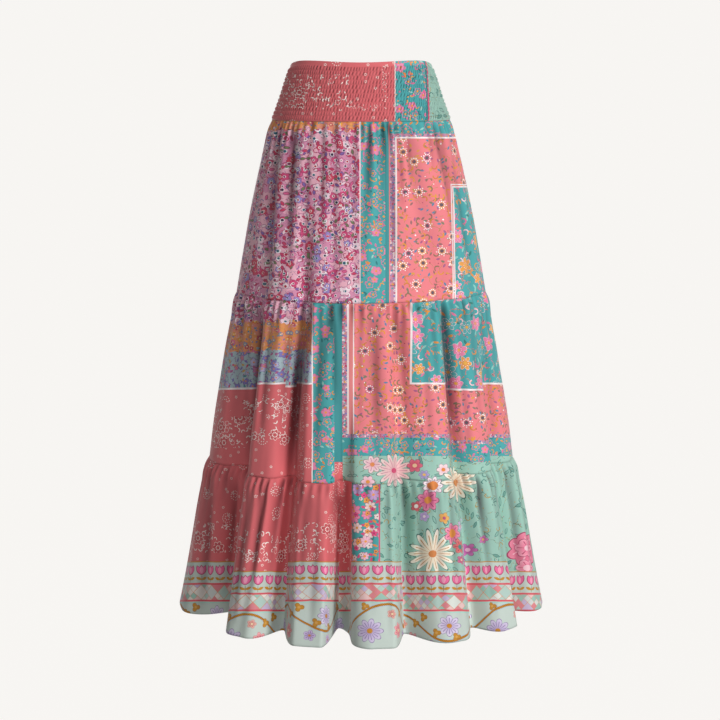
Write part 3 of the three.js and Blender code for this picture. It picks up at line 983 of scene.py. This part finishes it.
def mixed_print(tree, cloth):
    """Narrow strip of close bits in many colours."""
    at = scatter(tree, cloth, 5, 1.0, 0.9)
    print_ = blossom(tree, "#C98BA6", at, 3, 0.4, ["#4FA0A6", "#E9A04A", "#D5476F", "#8A84C0",
                                                   "#F2DCE0", "#5F7FB0"], rim=None, heart=None,
                     share=0.95, notch=0.3)
    at = scatter(tree, cloth, 7, 4.0, 0.9)
    return curl(tree, print_, at, 0.28, 0.08, ["#B02F56", "#F7EDEE", "#2F7077"], share=0.6)


def bouquet_print(tree, cloth):
    """Teal ground crowded with large pink and white flowers."""
    ground = chosen("teal")
    at = scatter(tree, cloth, 12, 1.7, 0.9)
    print_ = leaf(tree, ground, at, 0.42, 0.2, ["#2C7C7C", "#F08F45", "#5BAF8C", "#E5487C"],
                  share=0.85)
    at = scatter(tree, cloth, 26, 5.0, 0.8)
    print_ = blossom(tree, print_, at, 7, 0.44, ["#F3C3D2", "#EE8FB2", "#F7DDD8", "#C9A9DA"],
                     rim="#B33A68", line=0.035, heart="#EFA04A", heart_size=0.22, share=0.95,
                     notch=0.36, veins="#D9628E")
    at = scatter(tree, cloth, 15, 12.0, 0.9)
    return blossom(tree, print_, at, 5, 0.34, ["#E94C86", "#F4A24A", "#F6E6E2"], rim="#8F2F58",
                   line=0.05, heart="#7E2E4E", heart_size=0.24, share=0.5, notch=0.4)


def mint_print(tree, cloth):
    """Mint ground with dark teal sketched leaves and stems and gold specks."""
    ground = chosen("mint")
    print_ = sprig(tree, ground, cloth, 27, 0.02, ["#4F8A80", "#C7A24C", "#4E867E"], 3.0,
                   broken=0.5)
    at = scatter(tree, cloth, 19, 6.0, 1.0)
    print_ = leaf(tree, print_, at, 0.34, 0.11, ["#84B5A7", "#6FA295", "#93C0B1"], share=0.48,
                  rim="#3F7A73")
    at = scatter(tree, cloth, 21, 13.0, 1.0)
    print_ = curl(tree, print_, at, 0.2, 0.035, ["#3F7A73", "#4F8A80", "#B99A4E"], share=0.4,
                  open_part=-0.5)
    at = scatter(tree, cloth, 11, 2.0, 1.0)
    return blossom(tree, print_, at, 2, 0.07, ["#CFA241", "#BFA060", "#B8446A"], rim=None,
                   heart=None, share=0.3, notch=0.1)


# The garden on the mint tier: flowers placed one by one, by their place across and down the cloth.
GARDEN = [
    # across, level, radius, petals, fill, tip, rim, heart, heart size, notch, ribs
    (60, -764, 33, 13, "#E9AFB6", "#F3DAD4", "#3F7C74", "#D94A78", 0.16, 0.5, "#C9708C"),
    (20, -752, 17, 7, "#E7A9B8", "#F6DCDC", "#8E4A6C", "#E08A4E", 0.25, 0.4, "#B8557F"),
    (12, -786, 12, 6, "#F0A8BE", "#F9D6DE", "#A8486E", "#E8963F", 0.3, 0.35, None),
    (98, -754, 13, 6, "#C93C5C", "#E8768C", "#7E2E58", "#F0C9A0", 0.3, 0.35, None),
    (114, -772, 9, 6, "#8F82B8", "#B9AEDA", "#5B4A86", "#F0C060", 0.3, 0.4, None),
    (148, -762, 12, 6, "#E9B7C6", "#F9E3E4", "#9A4E7E", "#E8893E", 0.3, 0.35, None),
    (180, -788, 35, 12, "#F0DCC0", "#FBF3E4", "#4E7068", "#D68A4C", 0.2, 0.6, "#C98A4C"),
    (130, -794, 18, 9, "#F3DDE4", "#FBF1F4", "#9A4E7E", "#E58A46", 0.5, 0.36, "#9A4E7E"),
    (122, -822, 19, 7, "#DB4F86", "#F193B4", "#8C2F5C", "#E8963F", 0.34, 0.35, "#A83468"),
    (102, -832, 9, 5, "#C9383F", "#E8707A", "#7E2E48", "#F6E9E4", 0.4, 0.35, None),
    (116, -850, 8, 5, "#A98AC8", "#CDB6E2", "#7A5A9A", "#F2E0E8", 0.3, 0.35, None),
    (150, -852, 9, 5, "#E39A48", "#F0B96A", "#9A5A2E", "#B8557F", 0.3, 0.35, None),
    (130, -910, 40, 14, "#F2E0C4", "#FCF5E6", "#3F6E68", "#D9884C", 0.18, 0.6, "#CF9050"),
    (166, -876, 16, 7, "#E85C8A", "#F6A2BA", "#8E3560", "#EE9A40", 0.42, 0.38, "#B03A66"),
    (182, -896, 14, 6, "#D84A50", "#EE8A88", "#8E2F48", "#4F8C84", 0.35, 0.4, "#8E2F48"),
    (184, -922, 9, 5, "#B83A70", "#E07AA0", "#7E2E58", "#F2D0B0", 0.3, 0.4, None),
    (186, -862, 9, 5, "#C9A6D6", "#E4CFEA", "#7A5A9A", "#E8893E", 0.3, 0.4, None),
    (206, -922, 13, 6, "#A83C86", "#D07ABA", "#6A2A62", "#E8B8D0", 0.3, 0.5, None),
    (228, -902, 8, 5, "#B8458E", "#D98AC4", "#6A2A62", "#F0C060", 0.3, 0.4, None),
    (343, -900, 33, 7, "#D94F78", "#F08CA6", "#A83260", None, 0.36, 0.24, "#F7B9C8"),
    (343, -898, 19, 6, "#E8688E", "#F7A9BC", "#A83260", "#F9CBD6", 0.3, 0.28, "#B83A66"),
    (345, -938, 17, 6, "#E8688E", "#F7B0C2", "#A83260", "#F6C9D2", 0.36, 0.3, "#C4446E"),
]


def garden(tree, under, place, turn, across_part, level_part):
    """Flowers placed one by one on the mint cloth, those of one part of the piece. A turn of -1
    mirrors them."""
    for across, level, size, petals, fill, tip, rim, heart, heart_size, notch, ribs in GARDEN:
        across = turn * across
        beside = overlaps(across - size, across + size, across_part)
        if beside and overlaps(level - size, level + size, level_part):
            at = single(tree, place, across, level, size)
            under = blossom(tree, under, at, petals, 1.0, [fill], tip=tip, rim=rim, line=0.03,
                            heart=heart, heart_size=heart_size, notch=notch, ribs=ribs)
    return under


# The vine repeats at this length, and its flowers and leaves with it, by their place across and
# down the cloth.
VINE_LENGTH = 229
VINE_CREST = 39
VINE_MIDDLE = -1059.5
VINE_SWING = 27.5
VINE_TOP = -1030
STEM_WIDTH = 2.6
STEM_SHADE_WIDTH = 4.2
ROPE_TWIST = 4
VINE_FLOWERS = [
    # across, level, radius, petals, fill, inner fill, rim, heart
    (8, -1086, 24, 9, "#B3A0C8", "#D5C8E2", "#7E639E", "#C6872A"),
    (-73, -1056, 21, 8, "#BEADD2", "#E0D6EA", "#7E639E", "#C6872A"),
    (68, -1085, 16, 7, "#EE7B88", "#F6B3B4", "#C2405C", "#F6E3B6"),
    (49, -1052, 9, 5, "#D98A7E", "#EDB9A8", "#B8506A", "#F6E3B6"),
    (-112, -1096, 11, 5, "#A893C0", "#CDBBE0", "#7E4A86", "#C6872A"),
    (-64, -1104, 11, 5, "#BBA5D2", "#E3C9E4", "#9A5A9E", "#C6872A"),
]
VINE_LEAVES = [(0, -1036, 8), (102, -1038, 9), (-98, -1070, 9), (80, -1050, 9), (-60, -1078, 8)]

# The rest of the hem's border, by its place down the cloth.
BORDER_TOP = -946
BORDER_LINES = [
    # level, half width, colour
    (-946.2, 0.9, "#C68A22"),
    (-990.5, 1.9, "#DC5A64"),
    (-1024.5, 1.9, "#DC5A64"),
    (-1028.5, 1.1, "#A9D6CB"),
]
TULIP_PITCH = 24.5
TULIP_SHAPES = [
    # across, level, turn, half length, half width, fill
    (0, -980.5, 90, 7.5, 0.7, "#7E7A32"),
    (5.5, -980, 25, 6.2, 2.8, "#C68A22"),
    (4.5, -963.2, 68, 10.8, 5.2, "#A32A5A"),
    (0, -962.2, 90, 9.8, 4.6, "#A32A5A"),
    (4.3, -963, 68, 9.2, 4.1, "#EE6C9F"),
    (0, -962.4, 90, 8.3, 3.3, "#F7A3C0"),
]
DIAMOND_HEIGHT = 30
DIAMOND_MIDDLE = -1007.5
DIAMOND_REACH = 15.5


def hem_border(tree, cloth, under):
    """The hem's border: a row of tulips, a band of diamonds between lines, and a trailing vine."""
    parts = add(tree, "SeparateXYZ", cloth)
    across, level = parts, parts.node.outputs[1]
    border = add(tree, "Math LESS_THAN", level, BORDER_TOP * MM)
    print_ = add(tree, "Mix", border, under, chosen("pale_mint"))
    print_ = tulips(tree, print_, across, level)
    print_ = diamonds(tree, print_, across, level)
    for middle, reach, fill in BORDER_LINES:
        line = add(tree, "Math COMPARE", level, middle * MM, reach * MM)
        print_ = add(tree, "Mix", line, print_, fill)
    return vine(tree, print_, cloth, across, level)


def tulips(tree, under, across, level):
    """Tulips in a row: three lenses each, mirrored about the stem, over a pair of golden leaves."""
    half_pitch = TULIP_PITCH / 2 * MM
    sideways = add(tree, "Math WRAP", across, half_pitch, -half_pitch)
    sideways = add(tree, "Math ABSOLUTE", sideways)
    spot = add(tree, "CombineXYZ", sideways, level)
    for x, y, turn, length, width, fill in TULIP_SHAPES:
        local = add(tree, "Mapping", {"Vector": spot, "Location": (x * MM, y * MM, 0),
                                      "Rotation": (0, 0, math.radians(turn)),
                                      "Scale": (length * MM, width * MM, 1)}, vector_type="TEXTURE")
        parts = add(tree, "SeparateXYZ", local)
        wide = add(tree, "Math ABSOLUTE", parts.node.outputs[1])
        lens = add(tree, "Math MULTIPLY_ADD", parts, parts, wide)
        under = add(tree, "Mix", add(tree, "Math LESS_THAN", lens, 1.0), under, fill)
    return under


def diamonds(tree, under, across, level):
    """A band of diamonds: two sets of slanting lines, with a colour for each cell, some cells cut
    into four."""
    height = DIAMOND_HEIGHT * MM
    part_across = add(tree, "Math DIVIDE", across, height)
    part_up = add(tree, "Math MULTIPLY_ADD", level, 1 / height, -DIAMOND_MIDDLE / DIAMOND_HEIGHT)
    rising = add(tree, "Math ADD", part_across, part_up)
    falling = add(tree, "Math SUBTRACT", part_across, part_up)
    row = add(tree, "Math FLOOR", rising)
    whole = add(tree, "CombineXYZ", row, add(tree, "Math FLOOR", falling))
    chance = add(tree, "TexWhiteNoise", {"Vector": whole}, noise_dimensions="2D")
    parts = add(tree, "Math MULTIPLY_ADD", add(tree, "Math GREATER_THAN", chance, 0.45), 1.0, 1.0)
    rising = add(tree, "Math MULTIPLY", rising, parts)
    falling = add(tree, "Math MULTIPLY", falling, parts)
    row = add(tree, "Math FLOOR", rising)
    cell = add(tree, "CombineXYZ", row, add(tree, "Math FLOOR", falling), parts)
    pick = add(tree, "TexWhiteNoise", {"Vector": cell}, noise_dimensions="3D")
    fill = one_of(tree, pick, ["#DCE1DA", "#9CC5B8", "#C8B8D6", "#ECC6C4", "#EDE6DE", "#B5CFC6",
                               "#E0858E", "#D5D9D6"])
    edge = add(tree, "Math PINGPONG", rising, 0.5)
    other = add(tree, "Math PINGPONG", falling, 0.5)
    near = add(tree, "Math MINIMUM", edge, other)
    fill = add(tree, "Mix", add(tree, "Math LESS_THAN", near, 0.03), fill, "#D9936A")
    inside = add(tree, "Math COMPARE", level, DIAMOND_MIDDLE * MM, DIAMOND_REACH * MM)
    return add(tree, "Mix", inside, under, fill)


def vine(tree, under, cloth, across, level):
    """A rope-like stem that waves along the hem, with lilac and coral flowers and golden leaves on
    it."""
    turn = FULL_TURN / VINE_LENGTH / MM
    wave = add(tree, "Math MULTIPLY_ADD", across, turn, -VINE_CREST * MM * turn)
    wave = add(tree, "Math COSINE", wave)
    centre = add(tree, "Math MULTIPLY_ADD", wave, VINE_SWING * MM, VINE_MIDDLE * MM)
    away = add(tree, "Math ABSOLUTE", add(tree, "Math SUBTRACT", level, centre))
    below = add(tree, "Math LESS_THAN", level, VINE_TOP * MM)
    shade = add(tree, "Math LESS_THAN", away, STEM_SHADE_WIDTH * MM)
    print_ = add(tree, "Mix", add(tree, "Math MULTIPLY", shade, below), under, "#AFCBD6")
    stem = add(tree, "Math LESS_THAN", away, STEM_WIDTH * MM)
    stem = add(tree, "Math MULTIPLY", stem, below)
    twist = add(tree, "Math MULTIPLY", add(tree, "Math ADD", across, level),
                FULL_TURN / ROPE_TWIST / MM)
    twist = add(tree, "Math SINE", twist)
    rope = add(tree, "Mix", add(tree, "Math GREATER_THAN", twist, 0.4), "#C98722", "#8E5A14")
    print_ = add(tree, "Mix", stem, print_, rope)
    for x, y, size, petals, fill, inner, rim, heart in VINE_FLOWERS:
        at = single(tree, cloth, x, y, size, repeat=VINE_LENGTH)
        print_ = blossom(tree, print_, at, petals, 1.0, [fill], rim=rim, line=0.025, heart=heart,
                         heart_size=0.22, notch=0.34, veins=rim, tip=inner, ribs=rim)
    for x, y, size in VINE_LEAVES:
        at = single(tree, cloth, x, y, size, repeat=VINE_LENGTH)
        print_ = blossom(tree, print_, at, 3, 1.0, ["#C68A2A"], rim="#8E5A14", line=0.04,
                         heart="#D9A552", heart_size=0.3, notch=0.55)
    return print_


PRINTS = {
    "coral": coral_print,
    "coral_dotted": coral_dotted_print,
    "coral_dense": coral_dense_print,
    "rose": rose_print,
    "orange": orange_print,
    "teal": teal_print,
    "teal_large": teal_large_print,
    "salmon": salmon_print,
    "blue": blue_print,
    "mixed": mixed_print,
    "bouquet": bouquet_print,
    "mint": mint_print,
}

# The patchwork of each piece, laid one over another. across and level are in millimetres on the
# print, and None means that the patch runs to the edge. A name with a hash is a plain colour.
PATCHES = {
    # print, from, to, top, bottom
    "waistband_front": [
        ("coral", None, 61, None, None),
        ("coral_dense", None, -22, -14, -77),
        ("coral_dotted", 37, 49, 2, -76),
        ("coral_dotted", -22, 37, -69, -76),
        ("teal", 61, 117, None, None),
        ("#F4D9D6", 59.4, 61, None, None),
        ("#2E8286", 117, 120, None, None),
        ("#E2527F", 120, 122.4, None, None),
        ("mint", 122.4, None, None, None),
    ],
    "tier_1_front": [
        ("rose", None, -2, None, None),
        ("orange", None, -2, None, -115),
        ("teal", -1, 43, None, None),
        ("#F6DCE2", -3, -1, None, None),
        ("salmon", 52, 174, -128, None),
        ("teal", 43, None, None, -122),
        ("#3C9094", 43, 50, None, None),
        ("#F08C8C", 50, 52, None, None),
        ("mixed", 52, 61.5, -122, None),
        ("mixed", 52, None, -122, -128),
        ("#FBEFEF", 61.5, 64.5, -128, None),
        ("#FBEFEF", 61.5, None, -128, -131),
        ("salmon", 150, None, -131, -222),
        ("teal_large", 172.5, None, -221.5, None),
        ("#FBEFEF", 166.5, None, -215, -217),
        ("#FBEFEF", 166.5, 168.5, -215, None),
        ("#FBEFEF", 170, None, -219, -221.5),
        ("#FBEFEF", 170, 172.5, -219, None),
    ],
    "tier_2_front": [
        ("rose", None, -87, None, -475),
        ("blue", None, -87, -500, -592),
        ("orange", None, -87, -475, -529),
        ("coral", None, -87, -592, None),
        ("#FBEFEF", None, -87, -592, -595.5),
        ("coral_dense", None, -120, -615, -705),
        ("coral_dotted", -117, -104, -625, None),
        ("teal", -86.5, -48, None, None),
        ("#FBEFEF", -88.5, -86.5, None, None),
        ("salmon", -12.5, 90, None, -692),
        ("salmon", 60, None, -592, -692),
        ("#3C9094", -48, -34, None, -747),
        ("coral", -48, -34, -747, None),
        ("mixed", -34, -25, None, -692),
        ("#FBEFEF", -25, -22, None, -692),
        ("#F08C8C", -22, -14.5, None, -692),
        ("#FBEFEF", -14.5, -12.5, None, -692),
        ("#FBEFEF", 88.5, None, None, -595.5),
        ("teal_large", 92, None, None, -592),
        ("teal", -34, None, -692, -735),
        ("mixed", -34, None, -692, -699),
        ("mint", -34, None, -735, None),
    ],
    "tier_3_front": [
        ("coral", None, -17, None, None),
        ("coral_dotted", -51, -29, None, -868),
        ("coral_dense", None, -17, -868, -928),
        ("bouquet", -17, 34, None, None),
        ("mint", 34, None, None, None),
        ("#E2527F", 31.5, 34, None, None),
    ],
    "waistband_back": [
        ("mint", None, -70, None, None),
        ("teal", -70, 21, None, None),
        ("#E2527F", -70, -67.6, None, None),
        ("coral", 21, None, None, None),
        ("#F4D9D6", 20, 21.6, None, None),
        ("coral_dense", 40, None, -14, -77),
    ],
    "tier_1_back": [
        ("teal", None, -120, None, None),
        ("salmon", -120, 38, -122, None),
        ("#FBEFEF", -120, -117, None, None),
        ("mixed", None, 38, None, -122),
        ("teal_large", 38, 95, None, None),
        ("#FBEFEF", 38, 41, None, None),
        ("rose", 95, None, -135, None),
        ("orange", 95, None, None, -135),
        ("#3C9094", 92, 98, None, None),
    ],
    "tier_2_back": [
        ("teal_large", None, 70, None, -560),
        ("teal_large", -60, 70, None, -720),
        ("salmon", None, -63, -563, -720),
        ("#FBEFEF", None, -60, -560, -563),
        ("mixed", -63, -54, None, -720),
        ("coral", 70, None, -560, None),
        ("rose", 70, None, None, -520),
        ("orange", 70, None, -520, -560),
        ("#FBEFEF", 70, None, -560, -563.5),
        ("coral_dense", 90, None, -590, -690),
        ("#FBEFEF", 68, 70, None, None),
        ("mint", None, 68, -720, None),
    ],
    "tier_3_back": [
        ("mint", None, 20, None, None),
        ("bouquet", 20, 66, None, None),
        ("#E2527F", 20, 22.5, None, None),
        ("coral", 66, None, None, None),
        ("coral_dense", 66, None, -868, -925),
    ],
}

# Where a piece's cloth passes from one material to the next, across and down it. Every material
# holds only the patches that it shows, with some of those beside it.
PATCH_CUTS = {
    "waistband_front": ((20,), ()),
    "waistband_back": ((0,), ()),
    "tier_1_front": ((20, 110), ()),
    "tier_1_back": ((-40, 70), ()),
    "tier_2_front": ((-67, 20), (-560, -715)),
    "tier_2_back": ((-35, 50), (-560, -727)),
    "tier_3_front": ((-70, 45, 150), (-935,)),
    "tier_3_back": ((-150, -45, 70), (-935,)),
}
PART_OVERLAP = 6  # how far a part's material still holds the patches beyond its cuts
RAGGED_REACH = 36  # how far the orange patches' uneven edges wander
# The colour that multiplies the print where shade is painted into gathers and puckers.
CREASE_SHADE_TONE = "#8A7B80"
SLUBS_TO_A_METRE = (620, 210, 1)


def patch_mask(tree, across, level, left, right, top, bottom, ragged=None):
    """One inside a patch and nothing outside it. A noise makes a ragged patch's upper and lower
    edges uneven."""
    if ragged:
        drift = add(tree, "TexNoise", {"Vector": ragged, "Scale": 70.0, "Detail": 2.0},
                    noise_dimensions="2D")
        drift = add(tree, "Math SUBTRACT", drift, 0.5)
        level = add(tree, "Math ADD", level, add(tree, "Math MULTIPLY", drift, RAGGED_REACH * MM))
    tests = [(across, "GREATER_THAN", left), (across, "LESS_THAN", right),
             (level, "LESS_THAN", top), (level, "GREATER_THAN", bottom)]
    mask = None
    for place, operation, limit in tests:
        if limit is None:
            continue
        test = add(tree, f"Math {operation}", place, limit * MM)
        mask = test if mask is None else add(tree, "Math MULTIPLY", mask, test)
    return mask


def overlaps(low, high, part):
    """Whether a range reaches into a part of the cloth or close to it. None is an end without a
    limit."""
    part_low, part_high = part
    below = high is not None and part_low is not None and high < part_low - PART_OVERLAP
    above = low is not None and part_high is not None and low > part_high + PART_OVERLAP
    return not (below or above)


def printed_viscose(name, across_part, level_part):
    """Printed viscose: a smooth plain-woven cloth. It looks matt, with a soft sheen where it turns
    away. The material holds only the patches of one part of the piece."""
    limits = [f"{end} mm" for end in (*across_part, *level_part) if end is not None]
    label = " ".join(["printed viscose,", name.replace("_", " "), *limits])
    material, tree = new_material(label)
    cloth = add(tree, "UVMap", uv_map="print")
    patches = add(tree, "UVMap", uv_map="patches")
    parts = add(tree, "SeparateXYZ", patches)
    made = {}
    result = None
    for title, left, right, top, bottom in PATCHES[name]:
        if not (overlaps(left, right, across_part) and overlaps(bottom, top, level_part)):
            continue
        if title not in made:
            made[title] = title if title.startswith("#") else PRINTS[title](tree, cloth)
        ragged = cloth if title == "orange" else None
        mask = patch_mask(tree, parts, parts.node.outputs[1], left, right, top, bottom, ragged)
        if result is None or mask is None:
            result = made[title]
        else:
            result = add(tree, "Mix", mask, result, made[title])
    if "mint" in made and name.startswith("tier"):
        turn = 1 if name.endswith("front") else -1
        result = garden(tree, result, patches, turn, across_part, level_part)
    if name.startswith("tier_3") and level_part[0] is None:
        result = hem_border(tree, cloth, result)
    # Painted shade: the colour is darkened in the narrow hollows of gathers and puckers, where shade
    # falls.
    hollow = add(tree, "Attribute", out="Fac", attribute_name="hollow")
    result = add(tree, "Mix", hollow, result, CREASE_SHADE_TONE, blend_type="MULTIPLY")
    shader = add(tree, "BsdfPrincipled", {"Base Color": result, "Roughness": 0.72, "IOR": 1.46,
                                          "Sheen Weight": 0.18, "Sheen Roughness": 0.4,
                                          "Specular IOR Level": 0.3})
    # The yarns are 0.3 mm apart, too fine to show, so the weave's slubs are drawn 1.6 mm apart.
    slubs = add(tree, "Mapping", {"Vector": cloth, "Scale": SLUBS_TO_A_METRE})
    slubs = add(tree, "TexNoise", {"Vector": slubs, "Scale": 1.0, "Detail": 2.0},
                noise_dimensions="2D")
    bump = add(tree, "Bump", {"Height": slubs, "Strength": 0.12, "Distance": 0.0006})
    tree.links.new(bump, shader.node.inputs["Normal"])
    add(tree, "OutputMaterial", {"Surface": shader})
    return material


def reverse_viscose():
    """The reverse of printed viscose: the print shows through as a pale tint."""
    name = "viscose reverse"
    if name in bpy.data.materials:
        return bpy.data.materials[name]
    material, tree = new_material(name)
    cloth = add(tree, "UVMap", uv_map="print")
    wide = add(tree, "Mapping", {"Vector": cloth, "Scale": (30, 30, 1)})
    tint = add(tree, "TexNoise", {"Vector": wide, "Scale": 1.0, "Detail": 3.0},
               noise_dimensions="2D")
    tone = add(tree, "Mix", tint, "#E9CFCB", "#D9D8CC")
    shader = add(tree, "BsdfPrincipled", {"Base Color": tone, "Roughness": 0.8, "IOR": 1.46,
                                          "Sheen Weight": 0.1})
    add(tree, "OutputMaterial", {"Surface": shader})
    return material


class SKIRT_OT_waistband(bpy.types.Operator):
    """Make the shirred waistband, front and back"""

    bl_idname = "skirt.waistband"
    bl_label = "Shirred waistband"

    def execute(self, context):
        for half in ("front", "back"):
            surface = band_surface(half)
            cloth_piece("waistband", half, surface)
        return {"FINISHED"}


class SKIRT_OT_tiers(bpy.types.Operator):
    """Make the three gathered tiers, front and back"""

    bl_idname = "skirt.tiers"
    bl_label = "Gathered tiers"

    def execute(self, context):
        for name, tier in TIERS.items():
            for half in ("front", "back"):
                surface = tier_surface(name, half)
                cloth_piece(name, half, surface)
        return {"FINISHED"}


class SKIRT_OT_stage(bpy.types.Operator):
    """Set the plain pale floor, the soft studio light and the camera"""

    bl_idname = "skirt.stage"
    bl_label = "Floor, light and camera"

    def execute(self, context):
        floor_and_backdrop()
        soft_light()
        view_camera()
        context.scene.view_settings.view_transform = "Standard"
        return {"FINISHED"}


# The studio, in metres, with the lights' power in watts and the camera's lens in millimetres.
FLOOR_HEIGHT = -2.4
FLOOR_FRONT = -9.0
FLOOR_HALF_WIDTH = 14.0
WALL_HEIGHT = 9.0
CURVE_START = 5.0
CURVE_RADIUS = 3.0
ROUND_WALL_RADIUS = 8.4
ROUND_WALL_SIDES = 64
AMBIENT = 0.19  # strength of the even light all round
LIGHTS = [
    # name, place, size, power
    ("key_light", (3.6, -4.2, 1.3), 1.3, 236),
    ("front_light", (0.4, -5.2, 0.8), 2.0, 54),
    ("back_light", (-0.6, 5.0, 1.1), 1.6, 190),
]
LIGHTS_AIM = (0, 0, -0.5)
CAMERA_PLACE = (-0.002, -3.08, -0.010)
CAMERA_TILT = 10.0886
CAMERA_LENS = 82.4


def floor_and_backdrop():
    """A floor that rises in a wide curve behind: flat, then a quarter circle, then upright. A round
    wall of the same paint goes round it all, for the other sides."""
    turn = np.linspace(0, SIDE, 24)
    y = CURVE_START + CURVE_RADIUS * np.concatenate([np.sin(turn), [1]])
    y = np.concatenate([[FLOOR_FRONT, CURVE_START], y])
    z = FLOOR_HEIGHT + CURVE_RADIUS * (1 - np.cos(turn))
    z = np.concatenate([[FLOOR_HEIGHT, FLOOR_HEIGHT], z, [FLOOR_HEIGHT + WALL_HEIGHT]])
    x, y = np.meshgrid([-FLOOR_HALF_WIDTH, FLOOR_HALF_WIDTH], y, indexing="ij")
    points = np.stack([x, y, np.broadcast_to(z, x.shape)], axis=-1)
    backdrop = sheet_object("studio_floor", points / MM, {})
    round_wall = np.linspace(0, FULL_TURN, ROUND_WALL_SIDES + 1)
    z, turn = np.meshgrid([FLOOR_HEIGHT, FLOOR_HEIGHT + WALL_HEIGHT], round_wall, indexing="ij")
    x, y = ROUND_WALL_RADIUS * np.sin(turn), ROUND_WALL_RADIUS * np.cos(turn)
    wall = sheet_object("studio_wall", np.stack([x, y, z], axis=-1) / MM, {})
    wall.visible_shadow = False
    material, tree = new_material("matt painted studio floor")
    paint = chosen("floor_colour")
    shader = add(tree, "BsdfPrincipled", {"Base Color": "#0B0B0B", "Roughness": 1.0,
                                          "Specular IOR Level": 0.0, "Emission Color": paint,
                                          "Emission Strength": 1.0})
    add(tree, "OutputMaterial", {"Surface": shader})
    for piece in (backdrop, wall):
        piece.data.materials.append(material)
        piece.visible_diffuse = False


def soft_light():
    """A wide key light from the right, a weaker one in front, one behind for the back, and an even
    light all round."""
    for name, place, size, power in LIGHTS:
        light = bpy.data.lights.new(name, "AREA")
        light.size = size
        light.energy = power
        lamp = bpy.data.objects.new(name, light)
        lamp.location = place
        lamp.visible_camera = False
        lamp.rotation_euler = direction(np.subtract(LIGHTS_AIM, place))
        bpy.context.scene.collection.objects.link(lamp)
    world = bpy.data.worlds.new("studio")
    world.use_nodes = True
    background = world.node_tree.nodes["Background"]
    background.inputs["Color"].default_value = colour("#F7F5F2")
    background.inputs["Strength"].default_value = AMBIENT
    bpy.context.scene.world = world


def direction(aim):
    """The turn that points a lamp's or camera's own -Z along a direction, with its top upwards."""
    flat = math.hypot(aim[0], aim[1])
    return (math.atan2(flat, -aim[2]), 0, math.atan2(-aim[0], aim[1]))


def view_camera():
    """The camera level with the waist, 3.1 m in front, tilted 10 degrees down."""
    data = bpy.data.cameras.new("camera")
    data.lens = CAMERA_LENS
    data.sensor_width = 36
    camera = bpy.data.objects.new("camera", data)
    camera.location = CAMERA_PLACE
    camera.rotation_euler = (math.radians(90 - CAMERA_TILT), 0, 0)
    bpy.context.scene.collection.objects.link(camera)
    bpy.context.scene.camera = camera


class SKIRT_PT_panel(bpy.types.Panel):
    """The skirt's pieces in the sidebar"""

    bl_idname = "SKIRT_PT_panel"
    bl_label = "Tiered maxi skirt"
    bl_space_type = "VIEW_3D"
    bl_region_type = "UI"
    bl_category = "Skirt"

    def draw(self, context):
        settings = context.scene.skirt
        for name in settings.__annotations__:
            self.layout.prop(settings, name)
        for operator in OPERATORS:
            self.layout.operator(operator.bl_idname)


OPERATORS = (SKIRT_OT_stage, SKIRT_OT_waistband, SKIRT_OT_tiers)
CLASSES = (SkirtSettings, SKIRT_PT_panel) + OPERATORS


def register():
    for item in CLASSES:
        bpy.utils.register_class(item)
    bpy.types.Scene.skirt = PointerProperty(type=SkirtSettings)


def unregister():
    del bpy.types.Scene.skirt
    for item in reversed(CLASSES):
        bpy.utils.unregister_class(item)


def main():
    register()
    bpy.ops.skirt.stage()
    bpy.ops.skirt.waistband()
    bpy.ops.skirt.tiers()


if __name__ == "__main__":
    main()
